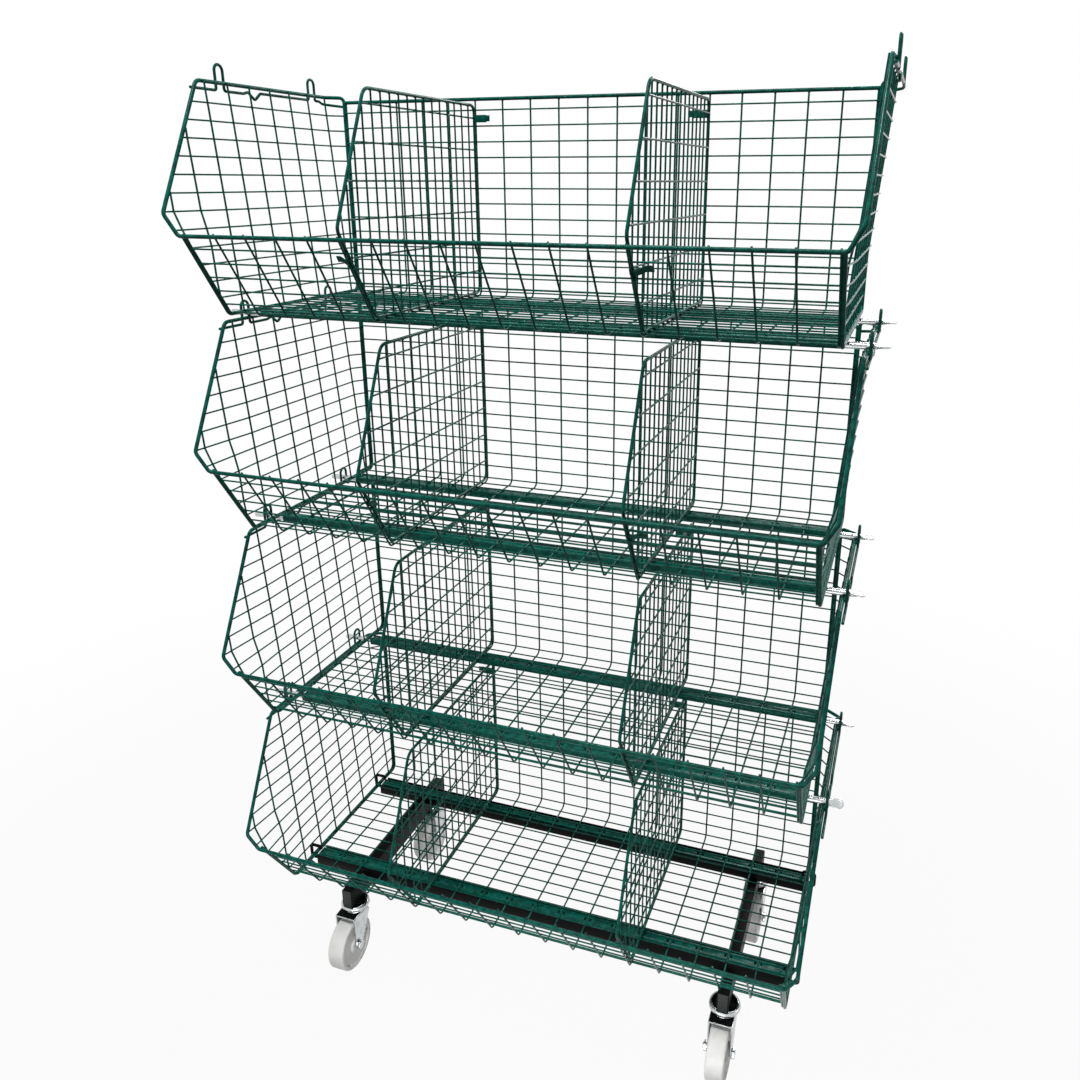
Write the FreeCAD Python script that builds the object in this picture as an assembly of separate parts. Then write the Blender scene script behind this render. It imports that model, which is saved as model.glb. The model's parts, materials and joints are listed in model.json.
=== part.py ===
"""Wheeled stack of four open-front wire baskets, pinned together with rods.

Millimetres, +Z up, +X to the right, -Y to the front. The origin is on the floor, at the middle of
the overall box. Each basket is modelled in its own coordinates: y = 0 is the plane of the back mesh,
z = 0 the plane of the base mesh, x = 0 the middle of the width.
"""
import FreeCAD, Part
import math
import os

V = FreeCAD.Vector

# Mesh
CELL_X = 50.8            # pitch of the cross wires along the width
CELLS_X = 18             # cells along the width
CELL_ROW = 25.4          # pitch of the row wires
SIDE_CELL = 50.8         # pitch of the side uprights
D_CROSS = 2.6            # cross wires and side uprights
D_ROW = 2.2              # row wires
D_RIM = 6.0              # rim wire and back rail
D_LOOP = 4.5             # formed loop wire
BITE = 0.05              # depth that one welded wire sinks into the next
SEAM = 0.02              # the same for wires welded side by side
BEND = 12.0              # centre-line radius of the mesh bends
TIP = 1.5                # cross wire beyond the front rail

# Basket profile
DEPTH = 363.0            # back mesh to the foot of the front slope
FRONT_RUN = 80.0         # how far the front slope leans out
FRONT_RISE = 123.0       # height of the front slope
TIERS = 4
PITCH = 352.7            # from one base mesh to the next
RAIL_DROP = 8.0          # back rail below the side's top wire
FIRST_ROW_DROP = 17.5    # first back row below the back rail
FLARE = 26.5             # how far the side leans out at its top
NOSE_OUT = 20.5          # nose of the side beyond the foot of the side
NOSE_UP = 31.0           # nose above the front rail
NOSE_FORWARD = 5.5       # nose ahead of the front rail
TOP_SETBACK = 18.0       # top front corner behind the foot of the front slope
REAR_TURN = 20.0         # where the side turns in to the rear post
RAIL_BEND = 8.0
NOSE_BEND = 12.0
TOP_BEND = 14.0
POST_BEND = 8.0

# Side panel
FIRST_UPRIGHT = 28.0     # first side upright ahead of the back mesh
SIDE_ROW_DROP = 30.0     # first side row below the top wire
SIDE_BEND = 5.0
BOW = 0.15               # short upright clear of a bent row
EDGE_REACH = 0.8         # short upright's top inside the front edge
LOOP_RUN_DROP = 10.0     # loop wire below the top wire
LOOP_LEGS = 18.0         # between the leg centres of a loop
LOOP_ABOVE_ROD = 12.0    # inside of a loop above the rod
LOOP_FOOT = 4.0
LOOP_LEAD = 7.0          # loop wire's front end ahead of the top front corner
FRONT_LOOP_Y = -287.0
REAR_LOOP_Y = -51.5
NOTCH_Y = -207.0
NOTCH_HALF = 15.0
NOTCH_DROP = 11.0
NOTCH_LEAD = 12.0        # rise from the front half to the notch
NOTCH_TAIL = 14.0
SHOULDER = 3.0           # rear half of the loop wire above its front half
TAIL_DROP = 8.0          # fall of its rear end to the post

# Channels and locking rods
CHANNEL_W = 20.0
CHANNEL_T = 2.0
CHANNEL_H = 11.0
CHANNEL_END_GAP = 3.5    # channel end to the rim's bottom run
SLOT_W = 3.0
SLOT_L = 6.0
SLOT_OFF = 5.0           # slot centre beside its cross wire
D_ROD = 9.5
ROD_GAP = 0.3            # rod to what it lies on and under
ROD_OUT = 24.8           # rod end beyond the loop wire
PADDLE_R = 8.0
PADDLE_T = 4.0
PADDLE_ROOT = 2.0        # round bar inside the paddle

# Dividers
D_DIV_RIM = 5.0
D_DIV = 2.6
DIV_CELLS = 5            # cells between a side and a divider
DIV_GAP = 0.3            # divider to the mesh that it stands on
DIV_TOP_DROP = 18.5      # divider's top wire below the side's top wire
DIV_TOP_FRONT = 11.0     # its top front corner behind the foot of the front slope
DIV_NOSE_UP = 11.0       # its nose above the front rail
DIV_PITCH = 25.4
DIV_ROW_PITCH = 50.8
DIV_FIRST_ROW = 20.0
CLIP_W = {"left": 20.0, "right": 33.0}   # front clip, from its root to its tip
CLIP_ROOT = 3.0          # root of the front clip beyond the divider
CLIP_H = 9.0
CLIP_RISE = 6.0          # crank between its root and its tip
TAB_W = 30.0
TAB_H = 12.0
TAB_T = 1.2
TAB_DROP = 21.0
HANDS = {"left": (1, 1, 1, -1), "right": (1, 1, 1, 1)}   # side that each front clip points to, by tier

# Wheeled base
TRAY_W = 33.0
TRAY_H = 19.0
TRAY_T = 2.5
TRAY_GAP = 0.3           # tray's edges to the cross wires that they carry
TUBE_X = 360.0
TUBE_W = 20.0
TUBE_H = 40.0
TUBE_T = 1.5
TUBE_FRONT = -350.0
TUBE_REAR = 24.0
CAP_T = 3.0
D_HOOK = 6.0
HOOK_OUT = 12.5          # hook's outer leg beyond the bottom run
HOOK_IN = 9.5            # hook's inner leg inside the bottom run
HOOK_UP = 12.0
HOOK_TIP = 7.0
HOOK_FOOT = 16.0         # hook's run on the tray's floor inside its inner leg
HOOK_BEND = 5.0
HOOK_SHIFT = 5.5         # front hooks ahead of the middle of their tray

# Castors
CASTOR_INSET = 25.0      # swivel axis from the end of the cross tube
HEAD_R = 27.0
HEAD_H = 8.5
PIN_R = 6.0
FIT = 0.05               # radial running clearance
RACE_GAP = 0.5
RACE_H = 3.0
FORK_W = 41.0
FORK_T = 2.5
FORK_FRONT = 38.0
FORK_REAR = 20.0
TRAIL = 29.0
WHEEL_R = 50.0
WHEEL_W = 32.0
WHEEL_ROUND = 4.0
HUB_R = 15.0
HUB_GAP = 0.5
DISH = 3.0
DISH_R = 41.0
WHEEL_DROP = 75.0        # wheel centre below the bottom of the cross tube
AXLE_R = 5.0
BOLT_R = 8.5
BOLT_H = 6.0
EYE_R = 10.0

# Derived sizes
HALF_W = CELLS_X * CELL_X / 2
EDGE_X = HALF_W + D_CROSS / 2 + D_RIM / 2 - SEAM
ROW_OFF = D_CROSS / 2 + D_ROW / 2 - BITE
CHANNEL_TOP = -(D_CROSS / 2 - BITE)
ROD_Z = CHANNEL_TOP - CHANNEL_T - ROD_GAP - D_ROD / 2
TOP_Z = PITCH + ROD_Z - D_ROD / 2 - ROD_GAP - D_RIM / 2
RAIL_Z = TOP_Z - RAIL_DROP
TOP_X = EDGE_X + FLARE
LOOP_X = TOP_X + D_RIM / 2 + D_LOOP / 2 - BITE
LOOP_TIP = PITCH + ROD_Z + D_ROD / 2 + LOOP_ABOVE_ROD + D_LOOP / 2
LOOP_Z = TOP_Z - LOOP_RUN_DROP
SLOPE = math.hypot(FRONT_RUN, FRONT_RISE)
SLOPE_U = V(0, -FRONT_RUN / SLOPE, FRONT_RISE / SLOPE)
SLOPE_IN = V(0, FRONT_RISE / SLOPE, FRONT_RUN / SLOPE)
FOOT = V(0, -DEPTH, 0)
FRONT_RAIL = FOOT + SLOPE_U * SLOPE - SLOPE_IN * (D_RIM / 2 + D_CROSS / 2 - BITE)
NOSE = V(EDGE_X + NOSE_OUT, FRONT_RAIL.y - NOSE_FORWARD, FRONT_RAIL.z + NOSE_UP)
TOP_FRONT = V(TOP_X, -DEPTH + TOP_SETBACK, TOP_Z)
RAIL_END = V(EDGE_X + D_RIM / 2 + 0.5, FRONT_RAIL.y, FRONT_RAIL.z)
ROD_Y = (FRONT_LOOP_Y, REAR_LOOP_Y)
ROD_HALF = LOOP_X + ROD_OUT
CHANNEL_FOOT = CHANNEL_TOP - CHANNEL_H
TUBE_TOP = -D_CROSS / 2 - TRAY_GAP - TRAY_H
TUBE_FOOT = TUBE_TOP - TUBE_H
DIV_OFF = ROW_OFF + D_ROW / 2 + DIV_GAP + D_DIV_RIM / 2
DIV_TOP = TOP_Z - DIV_TOP_DROP
DIV_X = HALF_W - DIV_CELLS * CELL_X
AXLE_Z = TUBE_FOOT - WHEEL_DROP
FLOOR_Z = AXLE_Z - WHEEL_R
CASTOR_Y = (TUBE_FRONT + CASTOR_INSET, TUBE_REAR - CASTOR_INSET)
FRONT_MOST = NOSE.y - D_RIM / 2
REAR_MOST = max(TUBE_REAR, CASTOR_Y[1] + HEAD_R)
Y_BACK = -(FRONT_MOST + REAR_MOST) / 2


def unit(v):
    return V(v) * (1.0 / v.Length)


def rod(a, b, r):
    """Round bar from a to b."""
    return Part.makeCylinder(r, (b - a).Length, a, b - a)


def path(points, radii):
    """Edges through points, rounded at each inner point."""
    edges = []
    start = points[0]
    for i in range(1, len(points) - 1):
        u = unit(points[i] - points[i - 1])
        w = unit(points[i + 1] - points[i])
        half = u.getAngle(w) / 2
        t = radii[i - 1] * math.tan(half)
        p = points[i] - u * t
        q = points[i] + w * t
        out = unit(points[i] * 2 - p - q)
        m = points[i] - out * (radii[i - 1] / math.cos(half) - radii[i - 1])
        if (p - start).Length > 1e-4:
            edges.append(Part.makeLine(start, p))
        edges.append(Part.Arc(p, m, q).toShape())
        start = q
    if (points[-1] - start).Length > 1e-4:
        edges.append(Part.makeLine(start, points[-1]))
    return edges


def sweep(edges, r):
    """Round wire along joined edges, as one solid."""
    first = edges[0]
    tangent = first.tangentAt(first.FirstParameter)
    start = first.valueAt(first.FirstParameter)
    disc = Part.Face(Part.Wire(Part.makeCircle(r, start, tangent)))
    shape = Part.Wire(edges).makePipe(disc)
    return shape.Solids[0] if shape.Solids else Part.Solid(shape)


def bent(points, radii, r):
    """Bent round wire as one solid."""
    return sweep(path(points, radii), r)


def chain(points, radii, r):
    """Bent round wire as straight runs and elbows that share their end faces."""
    return [sweep([edge], r) for edge in path(points, radii)]


def spline_wire(points, r):
    curve = Part.BSplineCurve()
    curve.interpolate(points)
    return sweep([curve.toShape()], r)


def mirrored(shape):
    return shape.mirror(V(0, 0, 0), V(1, 0, 0))


def box(x0, x1, y0, y1, z0, z1):
    return Part.makeBox(x1 - x0, y1 - y0, z1 - z0, V(x0, y0, z0))


def mesh_path():
    """Lengths along the developed mesh, from the back rail down and forward to the front rail."""
    turn = math.pi - math.atan2(FRONT_RISE, -FRONT_RUN)
    back = RAIL_Z - BEND
    arc1 = BEND * math.pi / 2
    cut = BEND * math.tan(turn / 2)
    base = DEPTH - BEND - cut
    arc2 = BEND * turn
    return back, arc1, base, arc2, cut, turn


def mesh_point(s, offset):
    """Point at length s along the mesh, moved to its inner side by offset."""
    back, arc1, base, arc2, cut, turn = mesh_path()
    if s <= back:
        return V(0, -offset, RAIL_Z - s)
    s -= back
    if s <= arc1:
        a = s / BEND
        r = BEND - offset
        return V(0, -BEND + r * math.cos(a), BEND - r * math.sin(a))
    s -= arc1
    if s <= base:
        return V(0, -BEND - s, offset)
    s -= base
    if s <= arc2:
        a = s / BEND
        r = BEND - offset
        return V(0, -DEPTH + cut - r * math.sin(a), BEND - r * math.cos(a))
    return FOOT + SLOPE_U * (cut + s - arc2) + SLOPE_IN * offset


def cross_wires():
    """Cross wires: down the back, along the base and up the front slope."""
    top = V(0, 0, RAIL_Z - D_RIM / 2 + BITE)
    tip = FOOT + SLOPE_U * (SLOPE + TIP)
    wires = []
    for i in range(CELLS_X + 1):
        x = V(-HALF_W + i * CELL_X, 0, 0)
        wires.append(bent([top + x, x, FOOT + x, tip + x], [BEND, BEND], D_CROSS / 2))
    return wires


def row_lengths():
    """Places of the row wires along the developed mesh."""
    back, arc1, base, arc2, cut, turn = mesh_path()
    total = back + arc1 + base + arc2 + SLOPE - cut
    count = int((total - D_RIM - FIRST_ROW_DROP) / CELL_ROW) + 1
    return [FIRST_ROW_DROP + CELL_ROW * i for i in range(count)]


def rows():
    """Row wires along the width, on the inner side of the cross wires."""
    end = EDGE_X - D_RIM / 2 + BITE
    points = [mesh_point(s, ROW_OFF) for s in row_lengths()]
    return [rod(V(-end, p.y, p.z), V(end, p.y, p.z), D_ROW / 2) for p in points]


def rim():
    """Rim wire: front rail, then up, back, down and forward round each side."""
    reach = math.sqrt((D_RIM / 2) ** 2 - (D_CROSS / 2 - BITE) ** 2)
    slope_end = FOOT + SLOPE_U * (SLOPE - reach) + V(EDGE_X, 0, 0)
    side = [slope_end, FOOT + V(EDGE_X, 0, 0), V(EDGE_X, 0, 0), V(EDGE_X, 0, TOP_Z),
            V(TOP_X, -REAR_TURN, TOP_Z), TOP_FRONT, NOSE, RAIL_END, V(0, RAIL_END.y, RAIL_END.z)]
    radii = [BEND, BEND, POST_BEND, POST_BEND, TOP_BEND, NOSE_BEND, RAIL_BEND]
    right = chain(side, radii, D_RIM / 2)
    half_rail = right.pop()
    reach_x = half_rail.BoundBox.XMax
    rail = rod(V(-reach_x, RAIL_END.y, RAIL_END.z), V(reach_x, RAIL_END.y, RAIL_END.z), D_RIM / 2)
    inner = EDGE_X - D_RIM / 2 + BITE
    back = rod(V(-inner, 0, RAIL_Z), V(inner, 0, RAIL_Z), D_RIM / 2)
    return right + [mirrored(s) for s in right] + [rail, back]


def upright_x(z):
    """Centre of the side uprights at height z."""
    low = EDGE_X - D_RIM / 2 - D_CROSS / 2 + BITE
    return low + FLARE * z / TOP_Z


def edge_point(z):
    """Centre of the rim wire along the front of the side, at height z."""
    if z >= NOSE.z:
        t = (z - NOSE.z) / (TOP_FRONT.z - NOSE.z)
        return NOSE + (TOP_FRONT - NOSE) * t
    if z >= RAIL_END.z:
        t = (z - RAIL_END.z) / (NOSE.z - RAIL_END.z)
        return RAIL_END + (NOSE - RAIL_END) * t
    return V(EDGE_X, -DEPTH - FRONT_RUN * z / FRONT_RISE, z)


def side_row_points(z):
    """Row wire of the side: rear post, corner, last full upright, front edge."""
    x = upright_x(z) + ROW_OFF
    post = V(EDGE_X, 0, z)
    corner = V(x, -REAR_TURN, z)
    kink = V(x, last_full_upright(), z)
    front = edge_point(z)
    half_edge = D_RIM / 2 * SLOPE / FRONT_RISE
    start = post + unit(corner - post) * (D_RIM / 2 - BITE)
    end = front + unit(kink - front) * (half_edge + 4 * BOW)
    return [start, corner, kink, end]


def last_full_upright():
    y = -FIRST_UPRIGHT
    while y - SIDE_CELL > TOP_FRONT.y + TOP_BEND / 2:
        y -= SIDE_CELL
    return y


def row_x(y, z):
    """x of a side row's centre line at y, ahead of the last full upright."""
    start, corner, kink, end = side_row_points(z)
    if y >= kink.y or end.y >= kink.y:
        return kink.x
    t = min((kink.y - y) / (kink.y - end.y), 1.0)
    return kink.x + (end.x - kink.x) * t


def side_row_heights():
    heights = []
    z = TOP_Z - SIDE_ROW_DROP
    while z > D_RIM:
        heights.append(z)
        z -= CELL_ROW
    return heights


def side_rows():
    wires = []
    for z in side_row_heights():
        wires.append(bent(side_row_points(z), [SIDE_BEND, SIDE_BEND], D_ROW / 2))
    return wires


def short_upright(y):
    """Upright that starts on the front slope and ends on the front edge."""
    lean = FRONT_RISE / FRONT_RUN
    low = (-DEPTH - y) * lean + D_CROSS / 2 * (lean + SLOPE / FRONT_RUN)
    for s in row_lengths():
        p = mesh_point(s, ROW_OFF)
        if abs(p.y - y) < (D_CROSS + D_ROW) / 2 and abs(p.z - low) < D_RIM:
            low = max(low, p.z + D_ROW / 2)
    t = (y - NOSE.y) / (TOP_FRONT.y - NOSE.y)
    top = NOSE + (TOP_FRONT - NOSE) * t
    high = top.z
    touch = D_RIM / 2 + D_CROSS / 2 + EDGE_REACH
    points = [V(upright_x(0), y, low)]
    for z in sorted(side_row_heights()):
        if low + D_RIM < z < high - D_RIM:
            points.append(V(row_x(y, z) - ROW_OFF - BOW, y, z))
    points.append(V(top.x - touch, y, high + 1.0))
    if len(points) == 2:
        return rod(points[0], points[1], D_CROSS / 2)
    return spline_wire(points, D_CROSS / 2)


def uprights():
    wires = []
    y = -FIRST_UPRIGHT
    foot = D_CROSS / 2 - BITE
    while y > last_full_upright() - 1.0:
        low = V(upright_x(0), y, foot)
        high = V(upright_x(TOP_Z), y, TOP_Z + 1.0)
        wires.append(rod(low, high, D_CROSS / 2))
        y -= SIDE_CELL
    while y > NOSE.y + D_RIM:
        wires.append(short_upright(y))
        y -= SIDE_CELL
    return wires


def loop(y, foot_z):
    """One upright loop of the loop wire, open below, that a rod passes through."""
    half = LOOP_LEGS / 2
    x = LOOP_X
    points = [V(x, y - half - 2 * LOOP_FOOT, foot_z), V(x, y - half, foot_z), V(x, y - half, LOOP_TIP),
              V(x, y + half, LOOP_TIP), V(x, y + half, foot_z), V(x, y + half + 2 * LOOP_FOOT, foot_z)]
    tight = half - 0.01
    return bent(points, [LOOP_FOOT, tight, tight, LOOP_FOOT], D_LOOP / 2)


def loop_wire():
    """Formed wire under the side's top wire, in seven runs that share their end faces."""
    x = LOOP_X
    half = LOOP_LEGS / 2 + 2 * LOOP_FOOT
    high = LOOP_Z + SHOULDER
    a = V(x, TOP_FRONT.y - LOOP_LEAD, LOOP_Z)
    b = V(x, FRONT_LOOP_Y - half, LOOP_Z)
    c = V(x, FRONT_LOOP_Y + half, LOOP_Z)
    bend = V(x, NOTCH_Y - NOTCH_HALF - NOTCH_LEAD, LOOP_Z)
    d = bend - V(0, 2 * LOOP_FOOT, 0)
    e = V(x, NOTCH_Y - NOTCH_HALF, high)
    f = V(x, NOTCH_Y, high - NOTCH_DROP)
    g = V(x, NOTCH_Y + NOTCH_HALF, high)
    h = V(x, NOTCH_Y + NOTCH_HALF + NOTCH_TAIL, high)
    i = V(x, REAR_LOOP_Y - half, high)
    j = V(x, REAR_LOOP_Y + half, high)
    k = V(x, -REAR_TURN, high - TAIL_DROP / 2)
    post = V(EDGE_X, 0, high - TAIL_DROP)
    m = post + unit(k - post) * (D_RIM / 2 + 1.0)
    r = D_LOOP / 2
    notch = bent([d, bend, e, f, g, h], [6, 6, 5, 6], r)
    return [rod(a, b, r), loop(FRONT_LOOP_Y, LOOP_Z), rod(c, d, r), notch, rod(h, i, r),
            loop(REAR_LOOP_Y, high), bent([j, j + V(0, LOOP_FOOT, 0), k, m], [POST_BEND, POST_BEND], r)]


def side():
    return uprights() + side_rows() + loop_wire()


def channel(y):
    """Folded channel under the base, open below, slotted beside each cross wire."""
    end = EDGE_X - D_RIM / 2 - CHANNEL_END_GAP
    half = CHANNEL_W / 2
    outer = box(-end, end, y - half, y + half, CHANNEL_FOOT, CHANNEL_TOP)
    inner = box(-end - 1, end + 1, y - half + CHANNEL_T, y + half - CHANNEL_T,
                CHANNEL_FOOT - 1, CHANNEL_TOP - CHANNEL_T)
    shape = outer.cut(inner)
    top_edges = [e for e in shape.Edges if abs(e.BoundBox.ZMin - CHANNEL_TOP) < 1e-6
                 and e.BoundBox.XLength > end]
    shape = shape.makeFillet(CHANNEL_T * 0.8, top_edges)
    slots = []
    for i in range(1, CELLS_X):
        x = -HALF_W + i * CELL_X
        for side_x in (x - SLOT_OFF, x + SLOT_OFF):
            slots.append(box(side_x - SLOT_W / 2, side_x + SLOT_W / 2, y - SLOT_L / 2, y + SLOT_L / 2,
                             CHANNEL_TOP - CHANNEL_T - 1, CHANNEL_TOP + 1))
    return shape.cut(Part.makeCompound(slots))


def locking_rod(y, paddle_axis):
    """Rod through the loops and the channels, flattened at its right end."""
    a = V(-ROD_HALF, y, 0)
    neck = ROD_HALF - 2 * PADDLE_R + PADDLE_ROOT
    body = rod(a, V(neck, y, 0), D_ROD / 2)
    body = body.makeChamfer(1.0, [e for e in body.Edges if e.BoundBox.XMax < -ROD_HALF + 1])
    centre = V(ROD_HALF - PADDLE_R, y, 0) - paddle_axis * (PADDLE_T / 2)
    disc = Part.makeCylinder(PADDLE_R, PADDLE_T, centre, paddle_axis)
    return body.fuse(disc).removeSplitter()


def divider_corners(x):
    """Corners of the divider's outline, along the mesh at a constant distance from it."""
    z = DIV_OFF
    base = FOOT + SLOPE_IN * DIV_OFF
    toe = base + SLOPE_U * ((z - base.z) / SLOPE_U.z)
    nose_z = FRONT_RISE + DIV_NOSE_UP
    nose = base + SLOPE_U * ((nose_z - base.z) / SLOPE_U.z)
    return [V(x, -DIV_OFF, z), V(x, -DIV_OFF, DIV_TOP), V(x, -DEPTH + DIV_TOP_FRONT, DIV_TOP),
            V(x, nose.y, nose.z), V(x, toe.y, toe.z)]


def span_at(corners, y):
    """Lowest and highest height of the outline at y."""
    heights = []
    for a, b in zip(corners, corners[1:] + corners[:1]):
        if abs(a.y - b.y) < 1e-6:
            continue
        t = (y - a.y) / (b.y - a.y)
        if 0 <= t <= 1:
            heights.append((a + (b - a) * t).z)
    return min(heights), max(heights)


def reach_at(corners, z):
    """Front and rear end of the outline at height z."""
    ends = []
    for a, b in zip(corners, corners[1:] + corners[:1]):
        if abs(a.z - b.z) < 1e-6:
            continue
        t = (z - a.z) / (b.z - a.z)
        if 0 <= t <= 1:
            ends.append((a + (b - a) * t).y)
    return min(ends), max(ends)


def divider(x, hand, reach):
    """Wire divider: outline, uprights and rows welded into one solid, and its two clips."""
    corners = divider_corners(x)
    middle = (corners[0] + corners[1]) * 0.5
    loop_points = [middle] + corners[1:] + [corners[0], middle]
    wires = [bent(loop_points, [12, 20, 14, 15, 15], D_DIV_RIM / 2)]
    trim = D_DIV_RIM / 2 - BITE
    off = hand * (D_DIV - BITE) / 2
    y = -DIV_OFF - DIV_PITCH
    while y > corners[3].y + DIV_PITCH / 2:
        low, high = span_at(corners, y)
        low_gap = trim if y > corners[4].y + 8 else trim * SLOPE / FRONT_RUN + 1.6
        high_gap = trim if y > corners[2].y + 8 else trim * 2.3 + 2.2
        wires.append(rod(V(x - off, y, low + low_gap), V(x - off, y, high - high_gap), D_DIV / 2))
        y -= DIV_PITCH
    z = DIV_TOP - DIV_FIRST_ROW
    while z > DIV_OFF + DIV_PITCH:
        front, rear = reach_at(corners, z)
        wires.append(rod(V(x + off, front + trim * 1.15, z), V(x + off, rear - trim, z), D_DIV / 2))
        z -= DIV_ROW_PITCH
    grid = wires[0].fuse(wires[1:])
    return grid.Solids + divider_clips(x, hand, reach)


def divider_clips(x, hand, reach):
    """Flat clips: a cranked one on the front slope, and a tab at the top of the back, the other way."""
    near = D_CROSS / 2 + DIV_GAP
    far = DIV_OFF - D_DIV_RIM / 2 + BITE
    upper = mesh_point(row_lengths()[-1], 0)
    base = upper - SLOPE_U * ((CELL_ROW + CLIP_H + CLIP_RISE) / 2) + SLOPE_IN * near + V(x, 0, 0)
    tip = reach - CLIP_ROOT
    outline = [(-CLIP_ROOT, 0), (tip / 3, 0), (tip * 2 / 3, CLIP_RISE), (tip, CLIP_RISE),
               (tip, CLIP_RISE + CLIP_H), (tip * 2 / 3, CLIP_RISE + CLIP_H), (tip / 3, CLIP_H),
               (-CLIP_ROOT, CLIP_H)]
    points = [base + V(hand * across, 0, 0) + SLOPE_U * rise for across, rise in outline]
    front = Part.Face(Part.makePolygon(points + points[:1])).extrude(SLOPE_IN * (far - near))
    y = -DIV_OFF - D_DIV_RIM / 2 + BITE
    z = DIV_TOP - TAB_DROP
    ends = sorted([x - hand * DIV_GAP, x - hand * (DIV_GAP + TAB_W)])
    tab = box(ends[0], ends[1], y - TAB_T, y, z - TAB_H / 2, z + TAB_H / 2)
    return [front, tab]


def tray(y):
    """Tray of the base that a channel of the lowest basket drops into, with its mesh on the edges."""
    end = EDGE_X - D_RIM / 2 - CHANNEL_END_GAP
    half = TRAY_W / 2
    outer = box(-end, end, y - half, y + half, TUBE_TOP, TUBE_TOP + TRAY_H)
    inner = box(-end - 1, end + 1, y - half + TRAY_T, y + half - TRAY_T,
                TUBE_TOP + TRAY_T, TUBE_TOP + TRAY_H + 1)
    return outer.cut(inner)


def cross_tube(x):
    """Rectangular tube, open at both ends."""
    outer = box(x - TUBE_W / 2, x + TUBE_W / 2, TUBE_FRONT, TUBE_REAR, TUBE_FOOT, TUBE_TOP)
    edges = [e for e in outer.Edges if e.BoundBox.YLength > TUBE_W]
    outer = outer.makeFillet(2.5, edges)
    inner = box(x - TUBE_W / 2 + TUBE_T, x + TUBE_W / 2 - TUBE_T, TUBE_FRONT - 1, TUBE_REAR + 1,
                TUBE_FOOT + TUBE_T, TUBE_TOP - TUBE_T)
    return outer.cut(inner)


def tube_caps():
    """Plugs that close the cross tubes, flush with their ends."""
    caps = []
    for x in (-TUBE_X, TUBE_X):
        for y in (TUBE_FRONT, TUBE_REAR - CAP_T):
            caps.append(box(x - TUBE_W / 2 + TUBE_T, x + TUBE_W / 2 - TUBE_T, y, y + CAP_T,
                            TUBE_FOOT + TUBE_T, TUBE_TOP - TUBE_T))
    return caps


def hook(y):
    """Wire hook at the right end of a tray, up and over the basket's bottom run."""
    floor = TUBE_TOP + TRAY_T + D_HOOK / 2
    inner = EDGE_X - HOOK_IN
    outer = EDGE_X + HOOK_OUT
    points = [V(inner - HOOK_FOOT, y, floor), V(outer, y, floor), V(outer, y, HOOK_UP),
              V(inner, y, HOOK_UP), V(inner, y, HOOK_TIP)]
    return chain(points, [HOOK_BEND, HOOK_BEND, HOOK_BEND - 0.5], D_HOOK / 2)


def hooks():
    right = hook(ROD_Y[0] - HOOK_SHIFT) + hook(ROD_Y[1])
    return right + [mirrored(s) for s in right]


def turned(profile, centre):
    """Solid of revolution about the vertical axis through centre, from (radius, z) pairs."""
    points = [V(r, 0, z) for r, z in profile]
    face = Part.Face(Part.makePolygon(points + points[:1]))
    shape = face.revolve(V(0, 0, 0), V(0, 0, 1), 360)
    shape.translate(centre)
    return shape


def castor_head(x, y):
    """Pressed head with its race and the pin that the fork turns on."""
    top = TUBE_FOOT
    low = top - HEAD_H
    crown = low - RACE_GAP - RACE_H
    pin = crown - FORK_T - RACE_GAP
    profile = [(0, top), (15, top), (19, top - 1.5), (HEAD_R - 1, top - 5), (HEAD_R, top - 6),
               (HEAD_R, low), (HEAD_R - 4, low), (HEAD_R - 4, low + 1), (PIN_R, low + 1),
               (PIN_R, pin), (PIN_R + 3, pin), (PIN_R + 3, pin - 2.5), (0, pin - 2.5)]
    return turned(profile, V(x, y, 0))


def castor_fork(x, y):
    """Fork: lower race, crown and two legs."""
    low = TUBE_FOOT - HEAD_H - RACE_GAP
    crown = low - RACE_H
    bore = PIN_R + FIT
    ring = [(bore, low), (HEAD_R - 5, low), (HEAD_R - 3, crown), (bore, crown)]
    race = turned(ring, V(x, y, 0))
    half = FORK_W / 2
    plate = box(x - half, x + half, y - FORK_FRONT, y + FORK_REAR, crown - FORK_T, crown)
    plate = plate.cut(Part.makeCylinder(bore, 20, V(x, y, crown - 10)))
    hub = V(x - half, y - TRAIL, AXLE_Z)
    outline = [V(hub.x, y - FORK_FRONT, crown), V(hub.x, y + FORK_REAR, crown),
               V(hub.x, y + FORK_REAR, crown - 16), V(hub.x, hub.y + EYE_R * 0.8, AXLE_Z - EYE_R * 0.6),
               V(hub.x, hub.y - EYE_R, AXLE_Z)]
    leg = Part.Face(Part.makePolygon(outline + outline[:1])).extrude(V(FORK_T, 0, 0))
    leg = leg.fuse(Part.makeCylinder(EYE_R, FORK_T, hub, V(1, 0, 0))).removeSplitter()
    leg = leg.cut(Part.makeCylinder(AXLE_R + FIT, FORK_T + 2, hub - V(1, 0, 0), V(1, 0, 0)))
    other = leg.copy()
    other.translate(V(FORK_W - FORK_T, 0, 0))
    return plate.fuse([race, leg, other]).removeSplitter()


def hexagon(centre, across, height):
    """Hexagonal prism along X."""
    r = across / math.sqrt(3)
    points = [centre + V(0, r * math.cos(math.radians(60 * i)), r * math.sin(math.radians(60 * i)))
              for i in range(7)]
    return Part.Face(Part.makePolygon(points)).extrude(V(height, 0, 0))


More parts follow.
